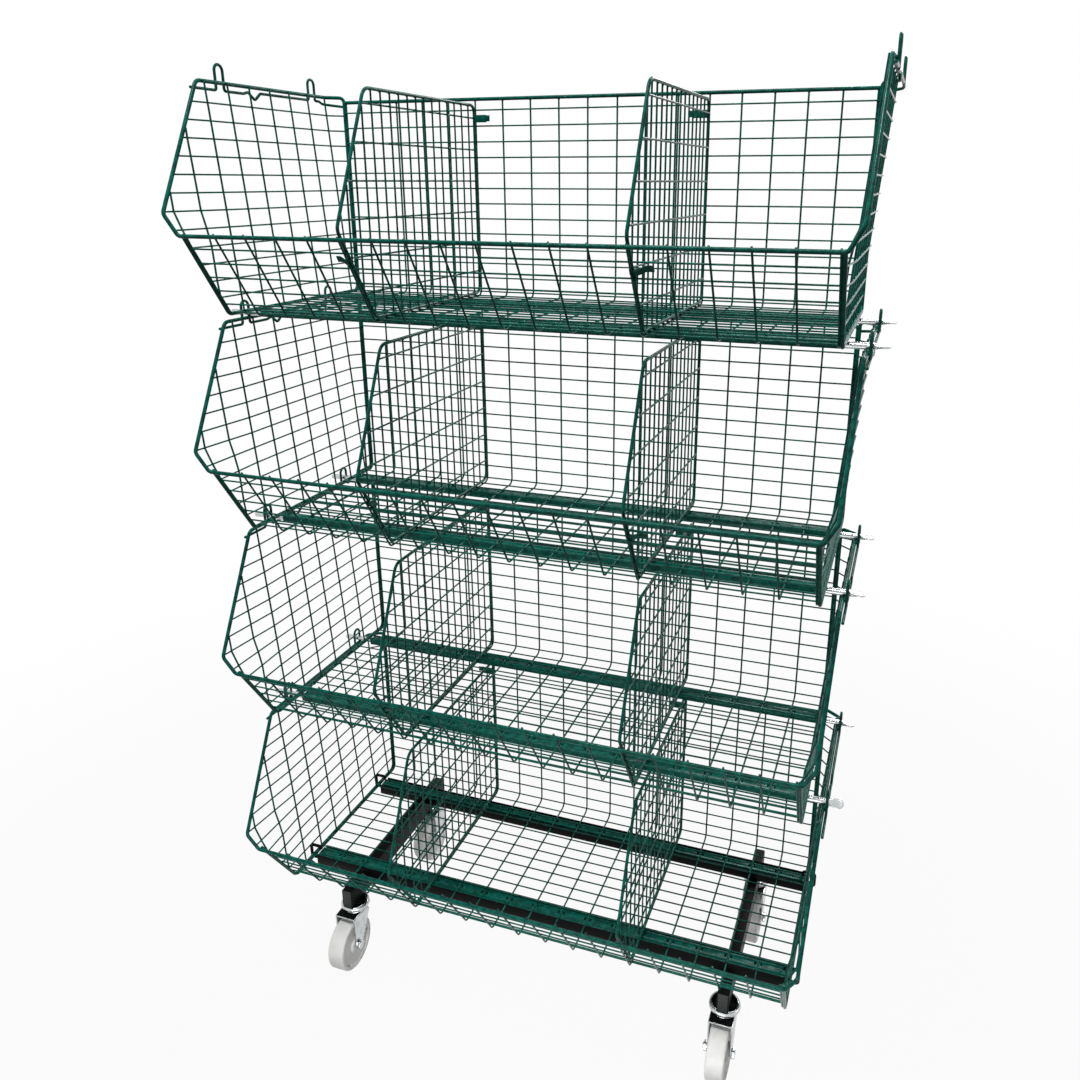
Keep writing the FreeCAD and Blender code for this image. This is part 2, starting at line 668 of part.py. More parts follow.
def castor_axle(x, y):
    """Axle bolt with its head on the right and its nut on the left."""
    centre = V(x, y - TRAIL, AXLE_Z)
    half = FORK_W / 2
    bar = rod(centre - V(half + BOLT_H + 2, 0, 0), centre + V(half + 1, 0, 0), AXLE_R)
    head = hexagon(centre + V(half, 0, 0), 2 * BOLT_R * 0.95, BOLT_H)
    nut = hexagon(centre - V(half + BOLT_H, 0, 0), 2 * BOLT_R * 0.95, BOLT_H)
    return bar.fuse([head, nut]).removeSplitter()


def castor_wheel(x, y):
    """Wheel with rounded tread edges, dished faces and a bored hub."""
    half = WHEEL_W / 2
    hub = FORK_W / 2 - FORK_T - HUB_GAP
    bore = AXLE_R + FIT
    edge = WHEEL_R - WHEEL_ROUND
    web = half - DISH
    tread = half - WHEEL_ROUND
    bow = WHEEL_ROUND * (1 - math.sqrt(0.5))
    points = [V(hub, 0, bore), V(hub, 0, HUB_R), V(web, 0, HUB_R + 2), V(web, 0, DISH_R),
              V(half, 0, DISH_R + 1.5), V(half, 0, edge)]
    mirror = [V(-p.x, 0, p.z) for p in points]
    right = Part.Arc(points[-1], V(half - bow, 0, WHEEL_R - bow), V(tread, 0, WHEEL_R))
    left = Part.Arc(V(-tread, 0, WHEEL_R), V(bow - half, 0, WHEEL_R - bow), mirror[-1])
    edges = Part.makePolygon(points).Edges + [right.toShape(), left.toShape()]
    edges.append(Part.makeLine(V(tread, 0, WHEEL_R), V(-tread, 0, WHEEL_R)))
    edges += Part.makePolygon(mirror[::-1]).Edges
    edges.append(Part.makeLine(mirror[0], points[0]))
    face = Part.Face(Part.Wire(Part.__sortEdges__(edges)))
    shape = face.revolve(V(0, 0, 0), V(1, 0, 0), 360)
    shape.translate(V(x, y - TRAIL, AXLE_Z))
    return shape


def save(name, shapes, lift):
    """Move shapes to their place and write them as one node."""
    if not isinstance(shapes, list):
        shapes = [shapes]
    placed = []
    for shape in shapes:
        copy = shape.copy()
        copy.translate(V(0, Y_BACK, lift - FLOOR_Z))
        placed += copy.Solids
    out = placed[0] if len(placed) == 1 else Part.makeCompound(placed)
    out.exportStep("parts/" + name + ".step")
    print(name, len(placed), all(s.isValid() for s in placed), round(sum(s.Volume for s in placed)))


def build_baskets():
    right = side()
    left = [mirrored(s) for s in right]
    pieces = {"rim": rim(), "row_wires": rows(), "cross_wires": cross_wires(), "side_left": left,
              "side_right": right, "channels": [channel(y) for y in ROD_Y]}
    for tier in range(TIERS):
        for part, shapes in pieces.items():
            save("basket_%d_%s" % (tier + 1, part), shapes, tier * PITCH)
        for part, x in (("left", -DIV_X), ("right", DIV_X)):
            shapes = divider(x, HANDS[part][tier], CLIP_W[part])
            save("divider_%d_%s" % (tier + 1, part), shapes, tier * PITCH)


def build_rods():
    flat = V(0, 0, 1)
    tipped = unit(V(0, -1, 1))
    for tier in range(1, TIERS):
        for name, y in zip(("front", "rear"), ROD_Y):
            axis = tipped if tier == 1 and name == "front" else flat
            save("rod_%d_%s" % (tier, name), locking_rod(y, axis), tier * PITCH + ROD_Z)


def build_base():
    save("base_tray_front", tray(ROD_Y[0]), 0)
    save("base_tray_rear", tray(ROD_Y[1]), 0)
    save("base_tube_left", cross_tube(-TUBE_X), 0)
    save("base_tube_right", cross_tube(TUBE_X), 0)
    save("base_tube_caps", tube_caps(), 0)
    save("base_hooks", hooks(), 0)


def build_castors():
    places = [("front_left", -TUBE_X, CASTOR_Y[0]), ("front_right", TUBE_X, CASTOR_Y[0]),
              ("rear_left", -TUBE_X, CASTOR_Y[1]), ("rear_right", TUBE_X, CASTOR_Y[1])]
    for name, x, y in places:
        save("castor_head_" + name, castor_head(x, y), 0)
        save("castor_fork_" + name, castor_fork(x, y), 0)
        save("castor_axle_" + name, castor_axle(x, y), 0)
        save("castor_wheel_" + name, castor_wheel(x, y), 0)


os.makedirs("parts", exist_ok=True)
build_baskets()
build_rods()
build_base()
build_castors()
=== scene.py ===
"""Looks of a wheeled stack of open-front wire baskets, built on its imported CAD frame.

Laid out as an add-on: the sizes and colours are properties, each group of like pieces has an operator,
and one panel in the 3D view's sidebar lists them. Basket paths are written in millimetres in a basket's own
coordinates (y = 0 the back mesh, z = 0 the base mesh, front towards -Y) and placed in metres.
"""

import json
import math

import bmesh
import bpy
from mathutils import Matrix, Vector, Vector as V

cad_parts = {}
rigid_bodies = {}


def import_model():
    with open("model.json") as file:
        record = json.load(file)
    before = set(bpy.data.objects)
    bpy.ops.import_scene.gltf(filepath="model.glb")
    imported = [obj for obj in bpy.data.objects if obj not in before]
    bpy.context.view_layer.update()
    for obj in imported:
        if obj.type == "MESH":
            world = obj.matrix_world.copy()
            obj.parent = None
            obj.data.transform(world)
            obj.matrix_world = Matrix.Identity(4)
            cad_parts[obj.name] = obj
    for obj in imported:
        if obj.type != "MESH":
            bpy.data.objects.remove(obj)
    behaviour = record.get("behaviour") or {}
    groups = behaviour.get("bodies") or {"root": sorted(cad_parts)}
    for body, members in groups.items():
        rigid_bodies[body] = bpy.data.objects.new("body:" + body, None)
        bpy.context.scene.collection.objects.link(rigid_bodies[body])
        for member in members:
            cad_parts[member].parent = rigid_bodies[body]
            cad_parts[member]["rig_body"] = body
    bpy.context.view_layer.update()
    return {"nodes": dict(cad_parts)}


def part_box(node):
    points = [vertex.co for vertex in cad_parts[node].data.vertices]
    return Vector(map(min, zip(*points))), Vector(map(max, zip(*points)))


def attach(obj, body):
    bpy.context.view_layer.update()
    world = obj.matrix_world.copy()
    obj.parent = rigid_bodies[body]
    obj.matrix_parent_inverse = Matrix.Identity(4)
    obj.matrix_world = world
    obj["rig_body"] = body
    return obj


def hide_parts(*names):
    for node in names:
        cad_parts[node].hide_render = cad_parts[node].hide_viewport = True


bl_info = {
    "name": "Wheeled wire basket stack",
    "version": (1, 0, 0),
    "blender": (4, 5, 0),
    "location": "3D View > Sidebar > Baskets",
    "description": "Builds the coated wire baskets, their rods, dividers and wheeled base",
    "category": "Object",
}

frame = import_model()
MM = 0.001
TIERS = 4


def linear(code):
    """sRGB hex colour as linear RGB."""
    parts = [int(code[i:i + 2], 16) / 255 for i in (1, 3, 5)]
    return tuple(c / 12.92 if c <= 0.04045 else ((c + 0.055) / 1.055) ** 2.4 for c in parts)


# ---------------------------------------------------------------- sizes and colours

def length(name, description, default):
    """A length in metres from a default in millimetres."""
    return bpy.props.FloatProperty(name=name, description=description, default=default * MM, min=0.0,
                                   unit="LENGTH", precision=5)


def colour(name, description, code):
    return bpy.props.FloatVectorProperty(name=name, description=description, default=linear(code), size=3,
                                         min=0.0, max=1.0, subtype="COLOR")


class WB_WireSizes(bpy.types.PropertyGroup):
    cross: length("Cross wire", "Diameter of the cross wires and side uprights", 3.1)
    row: length("Row wire", "Diameter of the row wires", 2.6)
    rim: length("Rim wire", "Diameter of the rim wire and the back rail", 6.0)
    loop: length("Loop wire", "Diameter of the formed loop wire", 4.5)
    outline: length("Divider outline", "Diameter of the divider's outline wire", 5.0)
    divider: length("Divider wire", "Diameter of the divider's inner wires", 2.8)
    weld: length("Weld", "Width of the coating that has pooled at each weld", 3.5)


class WB_Colours(bpy.types.PropertyGroup):
    coat: colour("Coating", "Green dip coating of the wires", "#066456")
    coat_deep: colour("Coating, thick", "Green where the coating is thick", "#032B24")
    paint: colour("Base paint", "Black paint of the base", "#060808")
    zinc: colour("Zinc", "Bright zinc plate of rods and castors", "#C9CCCD")
    nylon: colour("Nylon", "Cast nylon of the wheels", "#F3F3F1")
    floor: colour("Floor", "Studio floor and backdrop", "#747474")


# ---------------------------------------------------------------- node helper and materials

def put(tree, kind, settings=None, inputs=None):
    """Adds a node with its settings; an input is a value or another node's socket."""
    node = tree.nodes.new(kind)
    for key, value in (settings or {}).items():
        setattr(node, key, value)
    for key, value in (inputs or {}).items():
        if isinstance(value, bpy.types.NodeSocket):
            tree.links.new(value, node.inputs[key])
        else:
            node.inputs[key].default_value = value
    return node


def empty_material(name):
    """A material with only its output node, and the tree."""
    material = bpy.data.materials.new(name)
    material.use_nodes = True
    tree = material.node_tree
    tree.nodes.clear()
    return material, tree, put(tree, "ShaderNodeOutputMaterial")


def grain(tree, place, size_mm, detail=2.0, stretch=(1, 1, 1)):
    """Noise on Object coordinates with features of about size_mm."""
    scaled = put(tree, "ShaderNodeMapping", None, {"Vector": place, "Scale": stretch})
    return put(tree, "ShaderNodeTexNoise", None, {"Vector": scaled.outputs[0], "Scale": 1000.0 / size_mm,
                                                  "Detail": detail, "Roughness": 0.5})


def spread(tree, noise, low, high):
    """The noise's middle range spread over low to high."""
    return put(tree, "ShaderNodeMapRange", None,
               {0: noise.outputs["Fac"], 1: 0.35, 2: 0.65, 3: low, 4: high})


def mixed(tree, factor, first, second):
    node = put(tree, "ShaderNodeMix", {"data_type": "RGBA"}, {0: factor})
    node.inputs[6].default_value = (*first, 1)
    node.inputs[7].default_value = (*second, 1)
    return node.outputs[2]


def bumped(tree, height, depth_mm, strength):
    return put(tree, "ShaderNodeBump", None, {"Strength": strength, "Distance": depth_mm * MM,
                                              "Height": height}).outputs[0]


def coated_green():
    """Dip-coated green polyester on wire: glossy, thick in places, orange peel of about 2 mm."""
    material, tree, out = empty_material("dip_coated_polyester_green")
    tint = bpy.context.scene.wb_colours
    place = put(tree, "ShaderNodeTexCoord").outputs["Object"]
    broad = spread(tree, grain(tree, place, 9.0), 0.0, 0.7)
    peel = grain(tree, place, 2.0)
    gloss = spread(tree, grain(tree, place, 9.0), 0.15, 0.22)
    shader = put(tree, "ShaderNodeBsdfPrincipled", None, {
        "Base Color": mixed(tree, broad.outputs[0], tint.coat, tint.coat_deep),
        "Roughness": gloss.outputs[0],
        "IOR": 1.5,
        "Specular IOR Level": 0.06,
        "Normal": bumped(tree, peel.outputs["Fac"], 0.05, 0.3)})
    tree.links.new(shader.outputs[0], out.inputs[0])
    return material


def painted_black():
    """Satin black powder coat on steel: fine even texture of about 0.8 mm, a little dust on it."""
    material, tree, out = empty_material("powder_coated_steel_black")
    tint = bpy.context.scene.wb_colours
    place = put(tree, "ShaderNodeTexCoord").outputs["Object"]
    dust = spread(tree, grain(tree, place, 14.0, 4.0), 0.0, 0.35)
    peel = grain(tree, place, 0.8)
    gloss = spread(tree, grain(tree, place, 6.0), 0.34, 0.5)
    shader = put(tree, "ShaderNodeBsdfPrincipled", None, {
        "Base Color": mixed(tree, dust.outputs[0], tint.paint, linear("#101313")),
        "Roughness": gloss.outputs[0],
        "IOR": 1.5,
        "Specular IOR Level": 0.05,
        "Normal": bumped(tree, peel.outputs["Fac"], 0.04, 0.6)})
    tree.links.new(shader.outputs[0], out.inputs[0])
    return material


def moulded_black():
    """Moulded black polyethylene plug: dull, with a fine sparked texture."""
    material, tree, out = empty_material("moulded_polyethylene_black")
    place = put(tree, "ShaderNodeTexCoord").outputs["Object"]
    spark = grain(tree, place, 0.7, 3.0)
    shader = put(tree, "ShaderNodeBsdfPrincipled", None, {
        "Base Color": mixed(tree, spark.outputs["Fac"], linear("#121515"), linear("#1C2020")),
        "Roughness": 0.62,
        "IOR": 1.5,
        "Normal": bumped(tree, spark.outputs["Fac"], 0.05, 0.5)})
    tree.links.new(shader.outputs[0], out.inputs[0])
    return material


def zinc_plated(name, low, high, stretch):
    """Bright zinc plate: mirror-like but milky, faint drawn lines of about 0.6 mm and cloudy patches."""
    material, tree, out = empty_material(name)
    tint = bpy.context.scene.wb_colours
    place = put(tree, "ShaderNodeTexCoord").outputs["Object"]
    cloud = spread(tree, grain(tree, place, 11.0, 3.0), 0.0, 1.0)
    lines = grain(tree, place, 0.6, 3.0, stretch)
    gloss = spread(tree, grain(tree, place, 5.0, 3.0), low, high)
    shader = put(tree, "ShaderNodeBsdfPrincipled", None, {
        "Base Color": mixed(tree, cloud.outputs[0], tint.zinc, linear("#B4B9BA")),
        "Metallic": 1.0,
        "Roughness": gloss.outputs[0],
        "Normal": bumped(tree, lines.outputs["Fac"], 0.02, 0.35)})
    tree.links.new(shader.outputs[0], out.inputs[0])
    return material


def cast_nylon():
    """Off-white cast nylon: satin, slightly waxy, with a fine turned grain and faint scuffs."""
    material, tree, out = empty_material("cast_nylon_off_white")
    tint = bpy.context.scene.wb_colours
    place = put(tree, "ShaderNodeTexCoord").outputs["Object"]
    patch = spread(tree, grain(tree, place, 18.0, 4.0), 0.0, 1.0)
    fine = grain(tree, place, 0.9, 3.0)
    gloss = spread(tree, grain(tree, place, 4.0, 3.0), 0.36, 0.5)
    shader = put(tree, "ShaderNodeBsdfPrincipled", None, {
        "Base Color": mixed(tree, patch.outputs[0], tint.nylon, linear("#EAE9E6")),
        "Roughness": gloss.outputs[0],
        "IOR": 1.53,
        "Subsurface Weight": 0.12,
        "Subsurface Scale": 0.004,
        "Normal": bumped(tree, fine.outputs["Fac"], 0.03, 0.4)})
    shader.inputs["Subsurface Radius"].default_value = (1.0, 0.9, 0.8)
    tree.links.new(shader.outputs[0], out.inputs[0])
    return material


def white_rays(tree):
    """1 for the camera, mirror and clear rays, which see the studio as white."""
    rays = put(tree, "ShaderNodeLightPath")
    both = put(tree, "ShaderNodeMath", {"operation": "MAXIMUM"},
               {0: rays.outputs["Is Camera Ray"], 1: rays.outputs["Is Glossy Ray"]})
    seen = put(tree, "ShaderNodeMath", {"operation": "MAXIMUM"},
               {0: both.outputs[0], 1: rays.outputs["Is Transmission Ray"]})
    return seen.outputs[0]


def stage_white():
    """Pale studio floor that the camera and mirror rays see as white, and that keeps the shadow."""
    material, tree, out = empty_material("studio_paper_white")
    tint = bpy.context.scene.wb_colours
    paper = put(tree, "ShaderNodeBsdfDiffuse", None, {"Color": (*tint.floor, 1), "Roughness": 0.6})
    glow = put(tree, "ShaderNodeEmission", None, {"Color": (1, 1, 1, 1), "Strength": 1.0})
    place = put(tree, "ShaderNodeTexCoord").outputs["Object"]
    away = put(tree, "ShaderNodeVectorMath", {"operation": "LENGTH"}, {0: place})
    share = put(tree, "ShaderNodeMapRange", {"interpolation_type": "SMOOTHSTEP"},
                {0: away.outputs["Value"], 1: 0.7, 2: 2.4, 3: 0.95, 4: 1.0})
    part = put(tree, "ShaderNodeMath", {"operation": "MULTIPLY"}, {0: white_rays(tree), 1: share.outputs[0]})
    shader = put(tree, "ShaderNodeMixShader", None,
                 {0: part.outputs[0], 1: paper.outputs[0], 2: glow.outputs[0]})
    tree.links.new(shader.outputs[0], out.inputs[0])
    return material


MADE = {}


def material(key):
    """The finished material of that kind, made once."""
    makers = {
        "green": coated_green,
        "black": painted_black,
        "plug": moulded_black,
        "rod": lambda: zinc_plated("zinc_plated_drawn_bar", 0.16, 0.30, (0.05, 1, 1)),
        "zinc": lambda: zinc_plated("zinc_plated_pressed_steel", 0.14, 0.30, (1, 1, 1)),
        "nylon": cast_nylon,
        "stage": stage_white,
    }
    if key not in MADE:
        MADE[key] = makers[key]()
    return MADE[key]


# ---------------------------------------------------------------- geometry node trees

BEAD_SEED, BEAD_SIZES = 7, (0.88, 1.12)      # scatter of the beads about their size


def tree_input(tree, name, kind, default=None):
    socket = tree.interface.new_socket(name=name, in_out="INPUT", socket_type=kind)
    if default is not None:
        socket.default_value = default
    return socket


def wire_tree():
    """Round wires along the edges of a mesh, rounded by each point's "bend", repeated at a pitch."""
    tree = bpy.data.node_groups.new("Coated wires", "GeometryNodeTree")
    tree_input(tree, "Geometry", "NodeSocketGeometry")
    tree_input(tree, "Diameter", "NodeSocketFloat", 0.0026)
    tree_input(tree, "Sides", "NodeSocketInt", 10)
    tree_input(tree, "Bend steps", "NodeSocketInt", 5)
    tree_input(tree, "Copies", "NodeSocketInt", 1)
    tree_input(tree, "Pitch", "NodeSocketVector", (0.0, 0.0, 0.0))
    tree_input(tree, "Material", "NodeSocketMaterial")
    tree.interface.new_socket(name="Geometry", in_out="OUTPUT", socket_type="NodeSocketGeometry")
    given = put(tree, "NodeGroupInput").outputs
    bend = put(tree, "GeometryNodeInputNamedAttribute", {"data_type": "FLOAT"}, {"Name": "bend"})
    curve = put(tree, "GeometryNodeMeshToCurve", None, {0: given["Geometry"]})
    rounded = put(tree, "GeometryNodeFilletCurve", {"mode": "POLY"},
                  {"Curve": curve.outputs[0], "Count": given["Bend steps"], "Radius": bend.outputs[0]})
    radius = put(tree, "ShaderNodeMath", {"operation": "MULTIPLY"}, {0: given["Diameter"], 1: 0.5})
    circle = put(tree, "GeometryNodeCurvePrimitiveCircle", {"mode": "RADIUS"},
                 {"Resolution": given["Sides"], "Radius": radius.outputs[0]})
    wire = put(tree, "GeometryNodeCurveToMesh", None,
               {"Curve": rounded.outputs[0], "Profile Curve": circle.outputs[0], "Fill Caps": True})
    smooth = put(tree, "GeometryNodeSetShadeSmooth", None,
                 {"Geometry": wire.outputs[0], "Shade Smooth": True})
    places = put(tree, "GeometryNodeMeshLine", {"mode": "OFFSET"},
                 {"Count": given["Copies"], "Offset": given["Pitch"]})
    repeated = put(tree, "GeometryNodeInstanceOnPoints", None,
                   {"Points": places.outputs[0], "Instance": smooth.outputs[0]})
    real = put(tree, "GeometryNodeRealizeInstances", None, {0: repeated.outputs[0]})
    finish = put(tree, "GeometryNodeSetMaterial", None,
                 {"Geometry": real.outputs[0], "Material": given["Material"]})
    put(tree, "NodeGroupOutput", None, {0: finish.outputs[0]})
    return tree


def weld_tree():
    """A low bead of pooled coating on each point, flat across its "out" direction, repeated at a pitch."""
    tree = bpy.data.node_groups.new("Weld beads", "GeometryNodeTree")
    tree_input(tree, "Geometry", "NodeSocketGeometry")
    tree_input(tree, "Width", "NodeSocketFloat", 0.0035)
    tree_input(tree, "Height", "NodeSocketFloat", 0.003)
    tree_input(tree, "Copies", "NodeSocketInt", 1)
    tree_input(tree, "Pitch", "NodeSocketVector", (0.0, 0.0, 0.0))
    tree_input(tree, "Seed", "NodeSocketInt", BEAD_SEED)
    tree_input(tree, "Material", "NodeSocketMaterial")
    tree.interface.new_socket(name="Geometry", in_out="OUTPUT", socket_type="NodeSocketGeometry")
    given = put(tree, "NodeGroupInput").outputs
    out = put(tree, "GeometryNodeInputNamedAttribute", {"data_type": "FLOAT_VECTOR"}, {"Name": "out"})
    half = put(tree, "ShaderNodeMath", {"operation": "MULTIPLY"}, {0: given["Width"], 1: 0.5})
    ball = put(tree, "GeometryNodeMeshUVSphere", None,
               {"Segments": 8, "Rings": 4, "Radius": half.outputs[0]})
    flat = put(tree, "ShaderNodeMath", {"operation": "DIVIDE"}, {0: given["Height"], 1: given["Width"]})
    squash = put(tree, "ShaderNodeCombineXYZ", None, {"X": 1.0, "Y": 1.0, "Z": flat.outputs[0]})
    bead = put(tree, "GeometryNodeTransform", None,
               {"Geometry": ball.outputs["Mesh"], "Scale": squash.outputs[0]})
    smooth = put(tree, "GeometryNodeSetShadeSmooth", None,
                 {"Geometry": bead.outputs[0], "Shade Smooth": True})
    places = put(tree, "GeometryNodeMeshLine", {"mode": "OFFSET"},
                 {"Count": given["Copies"], "Offset": given["Pitch"]})
    column = put(tree, "GeometryNodeInstanceOnPoints", None,
                 {"Points": places.outputs[0], "Instance": given["Geometry"]})
    every = put(tree, "GeometryNodeRealizeInstances", None, {0: column.outputs[0]})
    turn = put(tree, "FunctionNodeAlignRotationToVector", {"axis": "Z"}, {"Vector": out.outputs[0]})
    size = put(tree, "FunctionNodeRandomValue", {"data_type": "FLOAT"}, {"Seed": given["Seed"]})
    least, most = [s for s in size.inputs if s.type == "VALUE" and s.enabled][:2]
    least.default_value, most.default_value = BEAD_SIZES
    beads = put(tree, "GeometryNodeInstanceOnPoints", None,
                {"Points": every.outputs[0], "Instance": smooth.outputs[0], "Rotation": turn.outputs[0],
                 "Scale": [s for s in size.outputs if s.type == "VALUE" and s.enabled][0]})
    real = put(tree, "GeometryNodeRealizeInstances", None, {0: beads.outputs[0]})
    finish = put(tree, "GeometryNodeSetMaterial", None,
                 {"Geometry": real.outputs[0], "Material": given["Material"]})
    put(tree, "NodeGroupOutput", None, {0: finish.outputs[0]})
    return tree


def node_group(name):
    if name not in bpy.data.node_groups:
        {"Coated wires": wire_tree, "Weld beads": weld_tree}[name]()
    return bpy.data.node_groups[name]


def grown(source, tree_name, values):
    """The plain mesh that a tree makes from a source mesh."""
    holder = bpy.data.objects.new("holder", source)
    bpy.context.scene.collection.objects.link(holder)
    modifier = holder.modifiers.new("grow", "NODES")
    modifier.node_group = node_group(tree_name)
    for item in modifier.node_group.interface.items_tree:
        if item.item_type == "SOCKET" and item.in_out == "INPUT" and item.name in values:
            modifier[item.identifier] = values[item.name]
    depsgraph = bpy.context.evaluated_depsgraph_get()
    made = bpy.data.meshes.new_from_object(holder.evaluated_get(depsgraph))
    bpy.data.objects.remove(holder)
    bpy.data.meshes.remove(source)
    return made


def wires(paths, diameter, sides=10, steps=5, copies=1, pitch=(0, 0, 0)):
    """Wires along paths; a path is a list of (point in mm, bend radius in mm)."""
    points, edges, bends = [], [], []
    for path in paths:
        start = len(points)
        points += [V(p) * MM for p, r in path]
        bends += [r * MM for p, r in path]
        edges += [(i, i + 1) for i in range(start, len(points) - 1)]
    source = bpy.data.meshes.new("paths")
    source.from_pydata(points, edges, [])
    source.attributes.new("bend", "FLOAT", "POINT").data.foreach_set("value", bends)
    return grown(source, "Coated wires", {
        "Diameter": diameter, "Sides": sides, "Bend steps": steps, "Copies": copies,
        "Pitch": V(pitch) * MM, "Material": material("green")})


def welds(spots, copies=1, pitch=(0, 0, 0), width=None, height=3.0):
    """Beads at spots; a spot is (point in mm, outward direction)."""
    source = bpy.data.meshes.new("spots")
    source.from_pydata([V(p) * MM for p, out in spots], [], [])
    flat = [c for p, out in spots for c in out]
    source.attributes.new("out", "FLOAT_VECTOR", "POINT").data.foreach_set("vector", flat)
    wide = width * MM if width else bpy.context.scene.wb_wires.weld
    return grown(source, "Weld beads", {
        "Width": wide, "Height": height * MM, "Copies": copies, "Pitch": V(pitch) * MM, "Seed": BEAD_SEED,
        "Material": material("green")})


# ---------------------------------------------------------------- pieces

def joined(meshes):
    """One mesh from several that share a material."""
    shape = bmesh.new()
    for mesh in meshes:
        shape.from_mesh(mesh)
    for face in shape.faces:
        face.material_index = 0
    made = bpy.data.meshes.new("joined")
    shape.to_mesh(made)
    shape.free()
    made.materials.append([m for m in meshes[0].materials if m][0])
    for mesh in meshes:
        bpy.data.meshes.remove(mesh)
    return made


def piece(name, mesh, nodes, body, place=(0, 0, 0)):
    """A finished piece that stands for its nodes, rides on its body and sits at the origin."""
    mesh = mesh.copy()
    mesh.transform(Matrix.Translation(V(place)))
    mesh.name = name
    thing = bpy.data.objects.new(name, mesh)
    bpy.context.scene.collection.objects.link(thing)
    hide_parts(*nodes)
    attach(thing, body)


def basket_place(tier):
    """Where basket coordinates have their origin, in metres, for tier 1 to 4."""
    low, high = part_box("basket_%d_cross_wires" % tier)
    return V((0.0, high.y - CROSS / 2 * MM, low.z + CROSS / 2 * MM))


# Basket sizes in millimetres, as in the frame
CROSS, ROW, RIM, LOOP, BITE = 2.6, 2.2, 6.0, 4.5, 0.05
CELL_X, CELLS, CELL_ROW, BEND = 50.8, 18, 25.4, 12.0
DEPTH, FRONT_RUN, FRONT_RISE = 363.0, 80.0, 123.0
HALF_W = CELLS * CELL_X / 2
EDGE_X = HALF_W + CROSS / 2 + RIM / 2 - 0.02
ROW_OFF = CROSS / 2 + ROW / 2 - BITE
TOP_Z = 336.35
RAIL_Z = TOP_Z - 8.0
FLARE, REAR_TURN, END_IN = 26.5, 20.0, 0.6
TOP_X = EDGE_X + FLARE
LOOP_X = TOP_X + RIM / 2 + LOOP / 2 - BITE
LOOP_Z = TOP_Z - 10.0
LOOP_TIP = 363.0
SLOPE = math.hypot(FRONT_RUN, FRONT_RISE)
SLOPE_U = V((0, -FRONT_RUN, FRONT_RISE)) / SLOPE
SLOPE_IN = V((0, FRONT_RISE, FRONT_RUN)) / SLOPE
FOOT = V((0, -DEPTH, 0))
FRONT_RAIL = FOOT + SLOPE_U * SLOPE - SLOPE_IN * (RIM / 2 + CROSS / 2 - BITE)
NOSE = V((EDGE_X + 20.5, FRONT_RAIL.y - 5.5, FRONT_RAIL.z + 31.0))
TOP_FRONT = V((TOP_X, -DEPTH + 18.0, TOP_Z))
RAIL_END = V((EDGE_X + RIM / 2 + 0.5, FRONT_RAIL.y, FRONT_RAIL.z))
LOOP_YS = (-287.0, -51.5)
SIDE_CELL, UPRIGHTS = 50.8, 7
UPRIGHT_YS = [-28.0 - SIDE_CELL * i for i in range(UPRIGHTS)]
SHORT_YS = [UPRIGHT_YS[-1] - SIDE_CELL * i for i in (1, 2)]
SIDE_ROW_ZS = [TOP_Z - 30.0 - CELL_ROW * i for i in range(12)]
DIV_X = 203.2
DIV_OFF = ROW_OFF + ROW / 2 + 0.3 + 2.5
DIV_TOP = TOP_Z - 18.5
HANDS = {"left": (1, 1, 1, -1), "right": (1, 1, 1, 1)}
CLIP_W = {"left": 20.0, "right": 33.0}
CLIP_GAP = CROSS / 2 + 0.3
ROD_HALF = LOOP_X + 24.8

# Castor sizes in millimetres, from the swivel axis and down from the bottom of the cross tube
HEAD_R, HEAD_H, RACE_GAP, RACE_H, PIN_R = 27.0, 8.5, 0.5, 3.0, 6.0
FORK_W, FORK_T, FORK_FRONT, FORK_REAR, TRAIL, EYE_R = 41.0, 2.5, 38.0, 20.0, 29.0, 10.0
WHEEL_DROP = 75.0
RACE_TOP = -HEAD_H - RACE_GAP
CROWN = RACE_TOP - RACE_H
PIN_END = CROWN - FORK_T - RACE_GAP


def mesh_frame(s):
    """Point on the folded mesh at length s from the back rail, and the direction to its inner side."""
    turn = math.pi - math.atan2(FRONT_RISE, -FRONT_RUN)
    lengths = [RAIL_Z - BEND, BEND * math.pi / 2, DEPTH - BEND - BEND * math.tan(turn / 2), BEND * turn]
    if s <= lengths[0]:
        return V((0, 0, RAIL_Z - s)), V((0, -1, 0))
    s -= lengths[0]
    if s <= lengths[1]:
        a = s / BEND
        out = V((0, -math.cos(a), math.sin(a)))
        return V((0, -BEND, BEND)) - out * BEND, out
    s -= lengths[1]
    if s <= lengths[2]:
        return V((0, -BEND - s, 0)), V((0, 0, 1))
    s -= lengths[2]
    cut = BEND * math.tan(turn / 2)
    if s <= lengths[3]:
        a = s / BEND
        out = V((0, math.sin(a), math.cos(a)))
        return V((0, -DEPTH + cut, BEND)) - out * BEND, out
    return FOOT + SLOPE_U * (cut + s - lengths[3]), SLOPE_IN


def upright_x(z):
    return EDGE_X - RIM / 2 - CROSS / 2 + BITE + FLARE * z / TOP_Z


def edge_point(z):
    """Centre of the rim wire along the front of the side, at height z."""
    if z >= NOSE.z:
        return NOSE + (TOP_FRONT - NOSE) * ((z - NOSE.z) / (TOP_FRONT.z - NOSE.z))
    if z >= RAIL_END.z:
        return RAIL_END + (NOSE - RAIL_END) * ((z - RAIL_END.z) / (NOSE.z - RAIL_END.z))
    return V((EDGE_X, -DEPTH - FRONT_RUN * z / FRONT_RISE, z))


